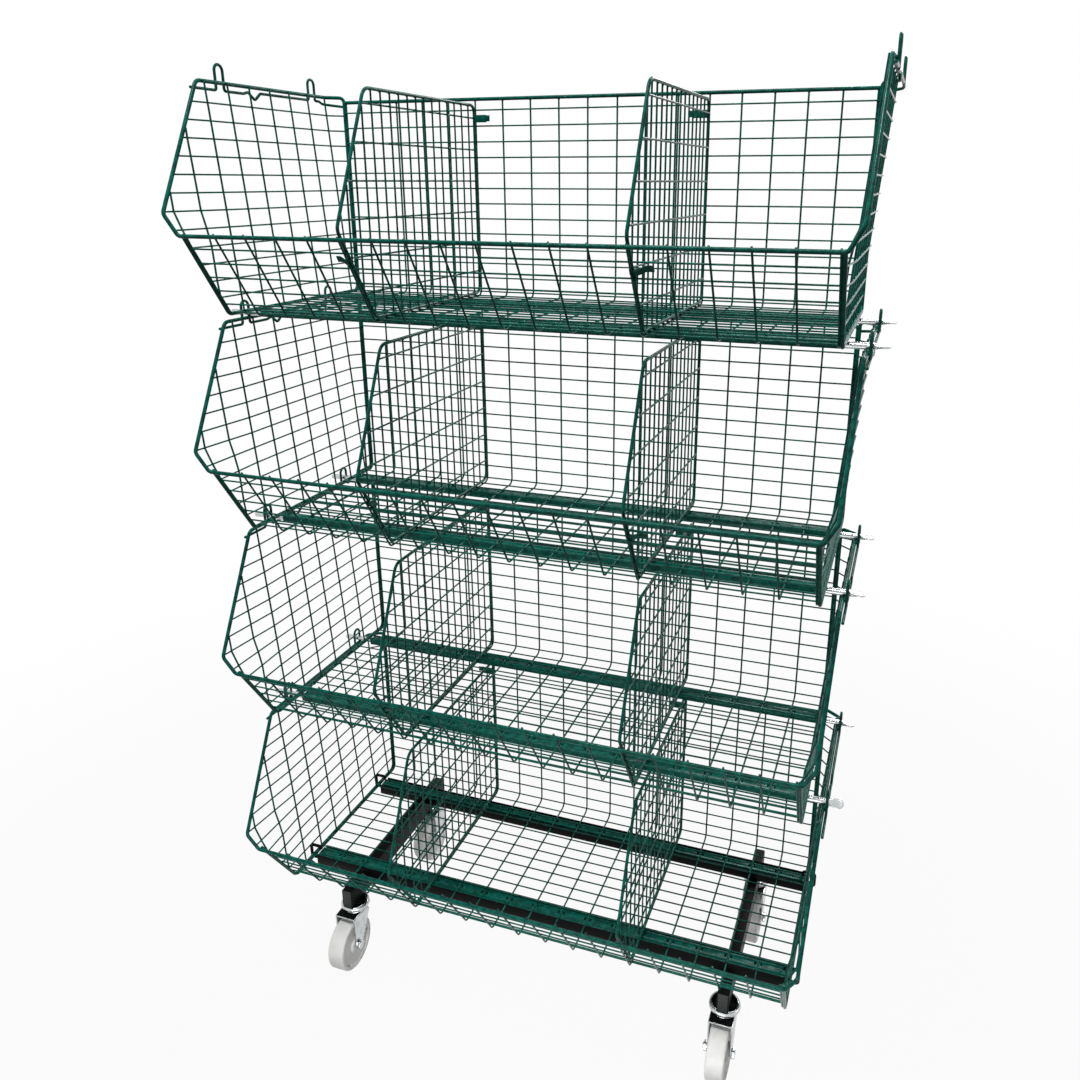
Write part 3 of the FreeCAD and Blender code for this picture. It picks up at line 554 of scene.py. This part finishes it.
def side_row(z):
    """Corner points of a side row: rear post, corner, last full upright, front edge."""
    x = upright_x(z) + ROW_OFF
    corner, kink = V((x, -REAR_TURN, z)), V((x, UPRIGHT_YS[-1], z))
    post, front = V((EDGE_X, 0, z)), edge_point(z)
    start = post + (corner - post).normalized() * (RIM / 2 - END_IN)
    end = front + (kink - front).normalized() * (RIM / 2 - 0.4)
    return [start, corner, kink, end]


def row_x(y, z):
    corner, kink, end = side_row(z)[1:]
    if y >= kink.y or end.y >= kink.y:
        return kink.x
    return kink.x + (end.x - kink.x) * min((kink.y - y) / (kink.y - end.y), 1.0)


def turned_over(mesh):
    """Mirror image across the middle plane, with its faces still outwards."""
    copy = mesh.copy()
    copy.transform(Matrix.Scale(-1, 4, V((1, 0, 0))))
    copy.flip_normals()
    return copy


ROW_LENGTHS = [17.5 + CELL_ROW * i for i in range(32)]


def rim_mesh():
    """Rim wire, back rail, and their welds to the cross wires."""
    w = bpy.context.scene.wb_wires
    side = V((EDGE_X, 0, 0))
    right = [(FOOT + SLOPE_U * (SLOPE - 1.0) + side, 0), (FOOT + side, BEND), (side, BEND),
             (V((EDGE_X, 0, TOP_Z)), 8), (V((TOP_X, -REAR_TURN, TOP_Z)), 8), (TOP_FRONT, 14),
             (NOSE, 12), (RAIL_END, 8)]
    loop = right + [((-p.x, p.y, p.z), r) for p, r in reversed(right)]
    inner = EDGE_X - RIM / 2 + END_IN
    rail = [((-inner, 0, RAIL_Z), 0), ((inner, 0, RAIL_Z), 0)]
    knots = []
    for i in range(CELLS + 1):
        x = -HALF_W + i * CELL_X
        knots.append((V((x, 0, RAIL_Z - RIM / 2 + 0.4)), (0, 0, 1)))
        knots.append((FOOT + SLOPE_U * (SLOPE - 0.5) + V((x, 0, 0)) - SLOPE_IN * 1.0, tuple(SLOPE_IN)))
    return joined([wires([loop], w.rim, sides=18, steps=8), wires([rail], w.rim, sides=18),
                   welds(knots, width=4.6, height=3.4)])


def cross_mesh():
    """One folded wire, repeated along the width."""
    x = V((-HALF_W, 0, 0))
    path = [(x + V((0, 0, RAIL_Z - RIM / 2 + END_IN)), 0), (x, BEND), (FOOT + x, BEND),
            (FOOT + SLOPE_U * (SLOPE + 1.5) + x, 0)]
    return joined([wires([path], bpy.context.scene.wb_wires.cross, copies=CELLS + 1,
                         pitch=(CELL_X, 0, 0))])


def row_mesh():
    """Straight wires along the folded mesh, with a weld at each crossing."""
    reach = EDGE_X - RIM / 2 + END_IN
    paths, spots = [], []
    for s in ROW_LENGTHS:
        point, out = mesh_frame(s)
        p = point + out * ROW_OFF
        paths.append([((-reach, p.y, p.z), 0), ((reach, p.y, p.z), 0)])
        spots.append((point + out * (ROW_OFF - ROW / 2) + V((-HALF_W, 0, 0)), tuple(out)))
    return joined([wires(paths, bpy.context.scene.wb_wires.row),
                   welds(spots, copies=CELLS + 1, pitch=(CELL_X, 0, 0))])


def slope_z(y):
    """Height of the front slope at y."""
    return (-DEPTH - y) * FRONT_RISE / FRONT_RUN


def short_upright(y):
    """Upright from the front slope to the front edge, bent at the rows."""
    low = slope_z(y) + 1.0
    top = NOSE + (TOP_FRONT - NOSE) * ((y - NOSE.y) / (TOP_FRONT.y - NOSE.y))
    points = [(V((upright_x(0), y, low)), 0)]
    for z in sorted(SIDE_ROW_ZS):
        if low + RIM < z < top.z - RIM:
            points.append((V((row_x(y, z) - ROW_OFF, y, z)), 14))
    points.append((V((top.x - RIM / 2, y, top.z - 0.5)), 0))
    return points


def side_mesh():
    """Right side panel: uprights, rows that turn in to the rear post, formed loop wire, welds."""
    w = bpy.context.scene.wb_wires
    upright = [(V((upright_x(0), UPRIGHT_YS[0], 0.9)), 0),
               (V((upright_x(TOP_Z), UPRIGHT_YS[0], TOP_Z + 0.8)), 0)]
    rows = [list(zip(side_row(z), (0, 5, 5, 0))) for z in SIDE_ROW_ZS]
    spots = []
    for z in SIDE_ROW_ZS:
        end = side_row(z)[-1]
        for y in UPRIGHT_YS + SHORT_YS:
            if y > end.y + 4 and z > slope_z(y) + 3:
                spots.append((V((row_x(y, z) - ROW / 2, y, z)), (1, 0, 0)))
        spots.append((end, (0, 1, 0)))
        spots.append((side_row(z)[0], (1, -1, 0)))
    for y in UPRIGHT_YS:
        spots.append((V((upright_x(0) + 1.0, y, 0)), (0, 0, 1)))
        spots.append((V((upright_x(TOP_Z) + 1.0, y, TOP_Z)), (0, 0, 1)))
    return joined([wires([upright], w.cross, copies=UPRIGHTS, pitch=(0, -SIDE_CELL, 0)),
                   wires([short_upright(y) for y in SHORT_YS], w.cross),
                   wires(rows, w.row), wires([loop_path()], w.loop, sides=14, steps=7),
                   welds(spots), welds(loop_spots(), width=6.0, height=4.0)])


def loop_path():
    """The formed wire: two upright loops, a notch, a shoulder, and the turn to the rear post."""
    x = LOOP_X
    high = LOOP_Z + 3.0
    points = [((x, TOP_FRONT.y - 7.0, LOOP_Z), 0)]
    for y, base in ((LOOP_YS[0], LOOP_Z), (LOOP_YS[1], high)):
        points += [((x, y - 9, base), 4), ((x, y - 9, LOOP_TIP), 8.9), ((x, y + 9, LOOP_TIP), 8.9),
                   ((x, y + 9, base), 4)]
        if y == LOOP_YS[0]:
            points += [((x, -234.0, LOOP_Z), 6), ((x, -222.0, high), 6), ((x, -207.0, high - 11.0), 5),
                       ((x, -192.0, high), 6)]
    straight, turn = V((x, LOOP_YS[1] + 21.0, high)), V((x, -REAR_TURN, high - 4.0))
    post = V((EDGE_X, 0, high - 8.0))
    end = post + (turn - post).normalized() * (RIM / 2 - 0.5)
    return [(V(p), r) for p, r in points] + [(straight, 8), (turn, 8), (end, 0)]


def loop_spots():
    """Where the legs of the loops are welded to the side's top wire."""
    return [(V((TOP_X + RIM / 2, y + side, TOP_Z)), (1, 0, 0)) for y in LOOP_YS for side in (-9, 9)]


def divider_outline(x):
    base = FOOT + SLOPE_IN * DIV_OFF
    toe = base + SLOPE_U * ((DIV_OFF - base.z) / SLOPE_U.z)
    nose = base + SLOPE_U * ((FRONT_RISE + 11.0 - base.z) / SLOPE_U.z)
    return [V((x, -DIV_OFF, DIV_OFF)), V((x, -DIV_OFF, DIV_TOP)), V((x, -DEPTH + 11.0, DIV_TOP)),
            V((x, nose.y, nose.z)), V((x, toe.y, toe.z))]


def crossings(corners, axis, value):
    """Least and greatest of the other coordinate where the outline crosses value."""
    other = 3 - axis
    found = []
    for a, b in zip(corners, corners[1:] + corners[:1]):
        if abs(a[axis] - b[axis]) > 1e-6:
            t = (value - a[axis]) / (b[axis] - a[axis])
            if 0 <= t <= 1:
                found.append((a + (b - a) * t)[other])
    return min(found), max(found)


def divider_mesh(x, hand, reach):
    """Wire divider: outline, uprights, rows, welds and its two clips, whose sides hand gives."""
    w = bpy.context.scene.wb_wires
    corners = divider_outline(x)
    middle = (corners[0] + corners[1]) / 2
    outline = [(middle, 0)] + list(zip(corners[1:] + corners[:1], (12, 20, 14, 15, 15))) + [(middle, 0)]
    paths, spots, ys, zs = [], [], [], []
    y = -DIV_OFF - 25.4
    while y > corners[3].y + 12.7:
        ys.append(y)
        y -= 25.4
    z = DIV_TOP - 20.0
    while z > DIV_OFF + 25.4:
        zs.append(z)
        z -= 50.8
    side = 1.28 * hand
    for y in ys:
        low, high = crossings(corners, 1, y)
        cut = 3.5 if y < corners[2].y + 8 else 1.9
        paths.append([(V((x - side, y, low + 1.9)), 0), (V((x - side, y, high - cut)), 0)])
        spots += [(V((x, y, low + 2.0)), (1, 0, 0)), (V((x, y, high - cut)), (1, 0, 0))]
    for z in zs:
        front, rear = crossings(corners, 2, z)
        paths.append([(V((x + side, front + 2.4, z)), 0), (V((x + side, rear - 1.9, z)), 0)])
        spots += [(V((x, front + 2.4, z)), (1, 0, 0)), (V((x, rear - 2.0, z)), (1, 0, 0))]
        for y in ys:
            low, high = crossings(corners, 1, y)
            if low < z < high:
                spots.append((V((x, y, z)), (1, 0, 0)))
    return joined([wires([outline], w.outline, sides=16, steps=8), wires(paths, w.divider), welds(spots),
                   front_clip(x, hand, reach), back_tab(x, hand)])


def front_clip(x, hand, reach):
    """Flat strip in the slope's plane, waved from its root at the divider to its raised tip."""
    row = mesh_frame(ROW_LENGTHS[-1])[0]
    root = row - SLOPE_U * 20.2 + SLOPE_IN * CLIP_GAP + V((x, 0, 0))
    low, high = [], []
    for i in range(17):
        t = i / 16
        wave = max(0.0, min(1.0, (t - 0.30) / 0.45))
        rise = 6.0 * wave * wave * (3 - 2 * wave)
        along = V((hand * (-3.0 + reach * t), 0, 0))
        low.append(root + along + SLOPE_U * rise)
        high.append(root + along + SLOPE_U * (rise + 9.0))
    strip = prism(low + high[::-1], SLOPE_IN * (DIV_OFF - 2.5 - CLIP_GAP), "green", 0.4)
    heel = root + SLOPE_IN * 2.05 + V((hand * 0.4, 0, 0))
    across = V((hand * 5.0, 0, 0))
    up, down = SLOPE_U * 8.5, SLOPE_U * 10.0
    leg = [heel + up, heel - down, heel + across * 0.8 - down, heel + across + up]
    return joined([strip, prism(leg, SLOPE_IN * 0.6, "green", 0.15)])


def back_tab(x, hand):
    """Small plate in front of the back mesh, welded to the divider's rear wire, narrower at its end."""
    near, far = x - hand * 0.3, x - hand * 30.3
    step = x - hand * 24.0
    z = DIV_TOP - 21.0
    y = -DIV_OFF - 2.5
    outline = [(near, z - 6), (step, z - 6), (step, z - 4.6), (far, z - 4.6), (far, z + 5.2), (step, z + 5.2),
               (step, z + 6), (near, z + 6)]
    return prism([V((px, y - 1.15, pz)) for px, pz in outline], V((0, 1.2, 0)), "green", 0.25)


# ---------------------------------------------------------------- softened copies of folded and turned parts

SHARP = math.radians(35)          # angle from which an edge counts as sharp


def finished(shape, key, width):
    """The shape as a mesh, with its sharp edges broken by width, in metres, and its round faces smooth."""
    if width:
        sharp = [e for e in shape.edges if len(e.link_faces) == 2 and e.calc_face_angle(0) > SHARP]
        bmesh.ops.bevel(shape, geom=sharp, offset=width, offset_type="OFFSET", segments=2, profile=0.5,
                        affect="EDGES", clamp_overlap=True)
    for face in shape.faces:
        face.smooth = True
    for edge in shape.edges:
        edge.smooth = len(edge.link_faces) == 2 and edge.calc_face_angle(0) < SHARP
    made = bpy.data.meshes.new("finished")
    shape.to_mesh(made)
    shape.free()
    made.materials.append(material(key))
    return made


def softened(node, key, width):
    """A merged copy of a node's mesh with its sharp edges broken."""
    shape = bmesh.new()
    shape.from_mesh(frame["nodes"][node].data)
    bmesh.ops.remove_doubles(shape, verts=shape.verts, dist=1e-6)
    bmesh.ops.dissolve_limit(shape, angle_limit=math.radians(1.0), verts=shape.verts, edges=shape.edges)
    for face in shape.faces:
        face.material_index = 0
    return finished(shape, key, width)


def prism(outline, depth, key, bevel):
    """Plate from an outline and the vector of its depth, all in mm, with its edges broken."""
    shape = bmesh.new()
    low = [shape.verts.new(V(p) * MM) for p in outline]
    high = [shape.verts.new((V(p) + depth) * MM) for p in outline]
    shape.faces.new(low)
    shape.faces.new(high[::-1])
    for i in range(len(outline)):
        shape.faces.new((low[i - 1], low[i], high[i], high[i - 1]))
    bmesh.ops.recalc_face_normals(shape, faces=shape.faces)
    return finished(shape, key, bevel * MM)


def turned(profile, key, segments=56):
    """Solid of revolution about the vertical axis, from (radius, height) pairs in mm."""
    shape = bmesh.new()
    rings = []
    for r, z in profile:
        angles = [2 * math.pi * i / segments for i in range(segments if r else 1)]
        rings.append([shape.verts.new(V((r * math.cos(a), r * math.sin(a), z)) * MM) for a in angles])
    if profile[0][0]:
        rings.append(rings[0])
    for a, b in zip(rings, rings[1:]):
        for i in range(segments):
            corners = [a[i - 1 if len(a) > 1 else 0], a[i if len(a) > 1 else 0],
                       b[i if len(b) > 1 else 0], b[i - 1 if len(b) > 1 else 0]]
            shape.faces.new(list(dict.fromkeys(corners)))
    bmesh.ops.recalc_face_normals(shape, faces=shape.faces)
    return finished(shape, key, 0)


def rounded_outline(corners, radii, steps=6):
    """Outline points with each corner rounded to its radius."""
    points = []
    for i, (corner, r) in enumerate(zip(corners, radii)):
        back = (corners[i - 1] - corner).normalized()
        on = (corners[(i + 1) % len(corners)] - corner).normalized()
        half = back.angle(on) / 2
        centre = corner + (back + on).normalized() * (r / math.sin(half))
        start = corner + back * (r / math.tan(half)) - centre
        end = corner + on * (r / math.tan(half)) - centre
        points += [centre + start.slerp(end, k / steps) for k in range(steps + 1)]
    return points


def head_mesh():
    """Pressed swivel head: a boss under the tube, a deep ring round it with a rolled lip, and the pin."""
    profile = [(0, 0), (9.5, 0), (9.5, -6.5), (18.6, -6.5), (19.6, -3.2), (20.6, -1.2), (22.2, -0.3),
               (24.0, -0.6), (25.6, -1.8), (26.6, -3.6), (HEAD_R, -5.8), (26.9, -7.4), (26.2, -HEAD_H),
               (23.4, -HEAD_H), (23.0, -7.5), (PIN_R, -7.5), (PIN_R, PIN_END), (PIN_R + 3, PIN_END),
               (PIN_R + 3, PIN_END - 2.5), (0, PIN_END - 2.5)]
    return turned(profile, "zinc")


def recess_shade_mesh():
    """Black lining of the head's ring: painted shade, the recess drawn dark as it looks in shade."""
    profile = [(9.8, -6.4), (18.4, -6.4), (19.3, -3.6), (20.2, -1.8), (19.8, -1.5), (18.8, -3.4),
               (17.9, -6.0), (9.8, -6.0)]
    return turned(profile, "black")


def fork_mesh():
    """Fork folded from sheet: crown, two legs with a rounded shoulder and eye, and the race on top."""
    half = FORK_W / 2
    hub = -TRAIL
    sheet = [V((-half, -FORK_FRONT, CROWN)), V((-half, FORK_REAR, CROWN)), V((-half, FORK_REAR, CROWN - 16)),
             V((-half, hub + EYE_R, -WHEEL_DROP)), V((-half, hub + EYE_R, -WHEEL_DROP - EYE_R)),
             V((-half, hub - EYE_R, -WHEEL_DROP - EYE_R)), V((-half, hub - EYE_R, -WHEEL_DROP))]
    outline = rounded_outline(sheet, (1.5, 9.0, 7.0, 5.0, 9.3, 9.3, 3.0))
    legs = []
    for shift in (0.0, FORK_W - FORK_T):
        legs.append(prism([p + V((shift, 0, 0)) for p in outline], V((FORK_T, 0, 0)), "zinc", 0.5))
    plate = [(-half, -FORK_FRONT), (half, -FORK_FRONT), (half, FORK_REAR), (-half, FORK_REAR)]
    crown = prism([V((x, y, CROWN - FORK_T)) for x, y in plate], V((0, 0, FORK_T)), "zinc", 0.7)
    race = turned([(PIN_R + 0.1, RACE_TOP), (21.2, RACE_TOP), (22.6, RACE_TOP - 0.6), (23.6, RACE_TOP - 1.8),
                   (24.0, CROWN), (PIN_R + 0.1, CROWN)], "zinc")
    return joined(legs + [crown, race])


def crown_shade_mesh():
    """Thin dark plate on the crown, round the race: painted shade, the crown top under the head drawn dark."""
    half = FORK_W / 2 - 1.3
    front, rear = 1.3 - FORK_FRONT, FORK_REAR - 4
    plate = [(-half, front), (half, front), (half, rear), (-half, rear)]
    return prism([V((x, y, CROWN - 0.1)) for x, y in plate], V((0, 0, 0.4)), "black", 0.1)


def rod_mesh(tilt):
    """Drawn bar, chamfered at the left and forged flat at the right; tilt turns the flat about the bar."""
    h = ROD_HALF
    # place along the bar, half width, half thickness, squareness
    sections = [(-h, 3.75, 3.75, 2), (1 - h, 4.75, 4.75, 2), (h - 25, 4.75, 4.75, 2), (h - 21, 5.2, 4.5, 2.2),
                (h - 18, 5.9, 3.7, 2.6), (h - 15, 6.8, 2.8, 3.0), (h - 12, 7.5, 2.2, 3.6), (h - 8, 8.0, 2.0, 4),
                (h - 5, 7.42, 2.0, 4), (h - 3, 6.24, 1.98, 4), (h - 1.4, 4.5, 1.9, 4), (h - 0.4, 2.5, 1.7, 3),
                (h, 1.2, 1.0, 2)]
    shape = bmesh.new()
    rings = []
    turn = Matrix.Rotation(tilt, 3, "X")
    for x, wide, thick, power in sections:
        ring = []
        for i in range(20):
            c, q = math.cos(math.pi * i / 10), math.sin(math.pi * i / 10)
            y = math.copysign(abs(c) ** (2 / power), c) * wide
            z = math.copysign(abs(q) ** (2 / power), q) * thick
            ring.append(shape.verts.new(turn @ V((x, y, z)) * MM))
        rings.append(ring)
    for a, b in zip(rings, rings[1:]):
        for i in range(20):
            shape.faces.new((a[i - 1], a[i], b[i], b[i - 1]))
    shape.faces.new(rings[0])
    shape.faces.new(rings[-1][::-1])
    bmesh.ops.recalc_face_normals(shape, faces=shape.faces)
    return finished(shape, "rod", 0)


def added(name, mesh, body, place):
    """A small piece that no node of the frame stands for."""
    piece(name, mesh, [], body, place)


def softened_piece(node, key, width):
    """A node's own shape with its edges broken, on its body."""
    body = frame["nodes"][node]["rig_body"]
    piece(node + "_finished", softened(node, key, width), [node], body)


# ---------------------------------------------------------------- operators

class BuildOperator:
    bl_options = {"REGISTER", "UNDO"}

    def execute(self, context):
        self.build(context)
        return {"FINISHED"}


class WB_OT_rims(BuildOperator, bpy.types.Operator):
    """Rim wires and back rails"""
    bl_idname = "wb.rims"
    bl_label = "Rims"

    def build(self, context):
        mesh = rim_mesh()
        for tier in range(1, TIERS + 1):
            node = "basket_%d_rim" % tier
            piece(node + "_coated", mesh, [node], "frame", basket_place(tier))


class WB_OT_mesh(BuildOperator, bpy.types.Operator):
    """Cross wires and row wires of the folded mesh"""
    bl_idname = "wb.mesh"
    bl_label = "Mesh"

    def build(self, context):
        for part, mesh in (("cross_wires", cross_mesh()), ("row_wires", row_mesh())):
            for tier in range(1, TIERS + 1):
                node = "basket_%d_%s" % (tier, part)
                piece(node + "_coated", mesh, [node], "frame", basket_place(tier))


class WB_OT_sides(BuildOperator, bpy.types.Operator):
    """Side panels with their loop wires"""
    bl_idname = "wb.sides"
    bl_label = "Sides"

    def build(self, context):
        right = side_mesh()
        for part, mesh in (("side_right", right), ("side_left", turned_over(right))):
            for tier in range(1, TIERS + 1):
                node = "basket_%d_%s" % (tier, part)
                piece(node + "_coated", mesh, [node], "frame", basket_place(tier))


class WB_OT_channels(BuildOperator, bpy.types.Operator):
    """Folded channels under each base"""
    bl_idname = "wb.channels"
    bl_label = "Channels"

    def build(self, context):
        for tier in range(1, TIERS + 1):
            softened_piece("basket_%d_channels" % tier, "green", 0.0003)


class WB_OT_dividers(BuildOperator, bpy.types.Operator):
    """Wire dividers with their clips"""
    bl_idname = "wb.dividers"
    bl_label = "Dividers"

    def build(self, context):
        for side, x in (("left", -DIV_X), ("right", DIV_X)):
            meshes = {hand: divider_mesh(x, hand, CLIP_W[side]) for hand in set(HANDS[side])}
            for tier in range(1, TIERS + 1):
                node = "divider_%d_%s" % (tier, side)
                body = "divider_body_%d_%s" % (tier, side)
                mesh = meshes[HANDS[side][tier - 1]]
                piece(node + "_coated", mesh, [node], body, basket_place(tier))


class WB_OT_rods(BuildOperator, bpy.types.Operator):
    """Locking rods with flattened ends"""
    bl_idname = "wb.rods"
    bl_label = "Rods"

    def build(self, context):
        flat, tipped = rod_mesh(0.0), rod_mesh(math.radians(45))
        for tier in range(1, TIERS):
            for end in ("front", "rear"):
                node = "rod_%d_%s" % (tier, end)
                low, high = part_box(node)
                mesh = tipped if (tier, end) == (1, "front") else flat
                body = "locking_" + node
                piece(node + "_forged", mesh, [node], body, (low + high) / 2)


class WB_OT_base(BuildOperator, bpy.types.Operator):
    """Trays, cross tubes, plugs and hooks of the wheeled base"""
    bl_idname = "wb.base"
    bl_label = "Base"

    def build(self, context):
        for part in ("tray_front", "tray_rear", "tube_left", "tube_right"):
            softened_piece("base_" + part, "black", 0.0005)
        softened_piece("base_tube_caps", "plug", 0.0006)
        softened_piece("base_hooks", "black", 0.0)


class WB_OT_castors(BuildOperator, bpy.types.Operator):
    """Castor heads, forks, axles and wheels"""
    bl_idname = "wb.castors"
    bl_label = "Castors"

    def build(self, context):
        # the black lining in the head's recess and the dark plate on the crown are painted shade
        head, recess_shade, fork, crown_shade = head_mesh(), recess_shade_mesh(), fork_mesh(), crown_shade_mesh()
        for corner in ("front_left", "front_right", "rear_left", "rear_right"):
            low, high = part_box("castor_head_" + corner)
            place = ((low.x + high.x) / 2, (low.y + high.y) / 2, high.z)
            swivel = "swivel_" + corner
            piece("castor_head_%s_pressed" % corner, head, ["castor_head_" + corner], "frame",
                  place)
            piece("castor_fork_%s_folded" % corner, fork, ["castor_fork_" + corner], swivel,
                  place)
            # black lining in the head's recess: painted shade
            added("castor_cup_" + corner, recess_shade, "frame", place)
            # dark plate on the crown: painted shade under the head
            added("castor_shield_" + corner, crown_shade, swivel, place)
            softened_piece("castor_axle_" + corner, "zinc", 0.0004)
            softened_piece("castor_wheel_" + corner, "nylon", 0.0)


class WB_OT_stage(BuildOperator, bpy.types.Operator):
    """Floor, backdrop, lamps, world and camera"""
    bl_idname = "wb.stage"
    bl_label = "Stage"

    def build(self, context):
        stage_floor()
        stage_lamps()
        stage_world()
        stage_camera()


# ---------------------------------------------------------------- stage

def stage_floor():
    """One sheet: floor, a wide curve, and a backdrop behind the object."""
    profile = [(-7.0, 0.0), (3.0, 0.0)]
    for i in range(1, 13):
        a = math.radians(90 * i / 12)
        profile.append((3.0 + 2.0 * math.sin(a), 2.0 - 2.0 * math.cos(a)))
    profile.append((5.0, 8.0))
    mesh = bpy.data.meshes.new("studio_sweep")
    points = [(x, y, z) for y, z in profile for x in (-9.0, 9.0)]
    faces = [(2 * i, 2 * i + 1, 2 * i + 3, 2 * i + 2) for i in range(len(profile) - 1)]
    mesh.from_pydata(points, [], faces)
    for polygon in mesh.polygons:
        polygon.use_smooth = True
    mesh.materials.append(material("stage"))
    sweep = bpy.data.objects.new("studio_sweep", mesh)
    bpy.context.scene.collection.objects.link(sweep)


def stage_lamps():
    """Two strips overhead, a weak fill from the right, one from the back, a small one at the castors."""
    for name, place, aim, size, power in (
            ("key", (-0.5, -1.25, 4.2), (0, -0.3, 1.0), (1.6, 0.3), 125.0),
            ("fill", (3.6, 0.9, 1.9), (0, 0, 0.8), (1.6, 1.6), 16.0),
            ("top", (0.4, 1.6, 3.9), (0.4, 0.1, 0.8), (2.6, 0.5), 30.0),
            ("back", (0.9, 2.7, 2.6), (0, 0.2, 0.6), (1.6, 0.6), 45.0),
            ("low", (0.15, -0.95, 0.15), (0.15, 0, 0.03), (0.8, 0.2), 4.0)):
        lamp = bpy.data.lights.new(name, "AREA")
        lamp.shape = "RECTANGLE"
        lamp.size, lamp.size_y = size
        lamp.energy = power
        holder = bpy.data.objects.new(name, lamp)
        holder.location = place
        holder.rotation_mode = "QUATERNION"
        holder.rotation_quaternion = (V(aim) - V(place)).to_track_quat("-Z", "Y")
        bpy.context.scene.collection.objects.link(holder)


def stage_world():
    """Even pale surroundings; camera, mirror and clear rays see them as white."""
    world = bpy.data.worlds.new("studio_white")
    bpy.context.scene.world = world
    world.use_nodes = True
    tree = world.node_tree
    tree.nodes.clear()
    light = put(tree, "ShaderNodeBackground", None, {"Color": (1, 1, 1, 1), "Strength": 0.06})
    white = put(tree, "ShaderNodeBackground", None, {"Color": (1, 1, 1, 1), "Strength": 1.0})
    mix = put(tree, "ShaderNodeMixShader", None,
              {0: white_rays(tree), 1: light.outputs[0], 2: white.outputs[0]})
    put(tree, "ShaderNodeOutputWorld", None, {0: mix.outputs[0]})


def stage_camera():
    """Camera above the stack's right half, looking down and to the left; size taken as 1080 by 1080."""
    yaw, pitch, roll = 0.3334, 0.3195, 0.0015
    focal, middle = 935.8, (588.3, 490.7)
    right = V((math.cos(yaw), math.sin(yaw), 0))
    ahead = V((-math.sin(yaw) * math.cos(pitch), math.cos(yaw) * math.cos(pitch), -math.sin(pitch)))
    up = right.cross(ahead)
    across = right * math.cos(roll) + up * math.sin(roll)
    upward = up * math.cos(roll) - right * math.sin(roll)
    data = bpy.data.cameras.new("camera")
    data.sensor_width = 36.0
    data.lens = 36.0 * focal / 1080
    data.shift_x = (540 - middle[0]) / 1080
    data.shift_y = (middle[1] - 540) / 1080
    camera = bpy.data.objects.new("camera", data)
    turn = Matrix((across, upward, -ahead)).transposed().to_4x4()
    camera.matrix_world = Matrix.Translation(V((0.5433, -1.3488, 1.4401))) @ turn
    bpy.context.scene.collection.objects.link(camera)
    bpy.context.scene.camera = camera
    bpy.context.scene.view_settings.view_transform = "Standard"


# ---------------------------------------------------------------- panel and registration

OPERATORS = (WB_OT_rims, WB_OT_mesh, WB_OT_sides, WB_OT_channels, WB_OT_dividers, WB_OT_rods, WB_OT_base,
             WB_OT_castors, WB_OT_stage)


class WB_PT_panel(bpy.types.Panel):
    bl_idname = "WB_PT_panel"
    bl_label = "Wire basket stack"
    bl_space_type = "VIEW_3D"
    bl_region_type = "UI"
    bl_category = "Baskets"

    def draw(self, context):
        for group in (context.scene.wb_wires, context.scene.wb_colours):
            box = self.layout.box()
            for key in group.bl_rna.properties.keys():
                if key not in ("rna_type", "name"):
                    box.prop(group, key)
        for operator in OPERATORS:
            self.layout.operator(operator.bl_idname)


CLASSES = (WB_WireSizes, WB_Colours) + OPERATORS + (WB_PT_panel,)


def register():
    for cls in CLASSES:
        bpy.utils.register_class(cls)
    bpy.types.Scene.wb_wires = bpy.props.PointerProperty(type=WB_WireSizes)
    bpy.types.Scene.wb_colours = bpy.props.PointerProperty(type=WB_Colours)


def unregister():
    del bpy.types.Scene.wb_wires
    del bpy.types.Scene.wb_colours
    for cls in reversed(CLASSES):
        bpy.utils.unregister_class(cls)


def main():
    register()
    for operator in OPERATORS:
        group, name = operator.bl_idname.split(".")
        getattr(getattr(bpy.ops, group), name)()


if __name__ == "__main__":
    main()
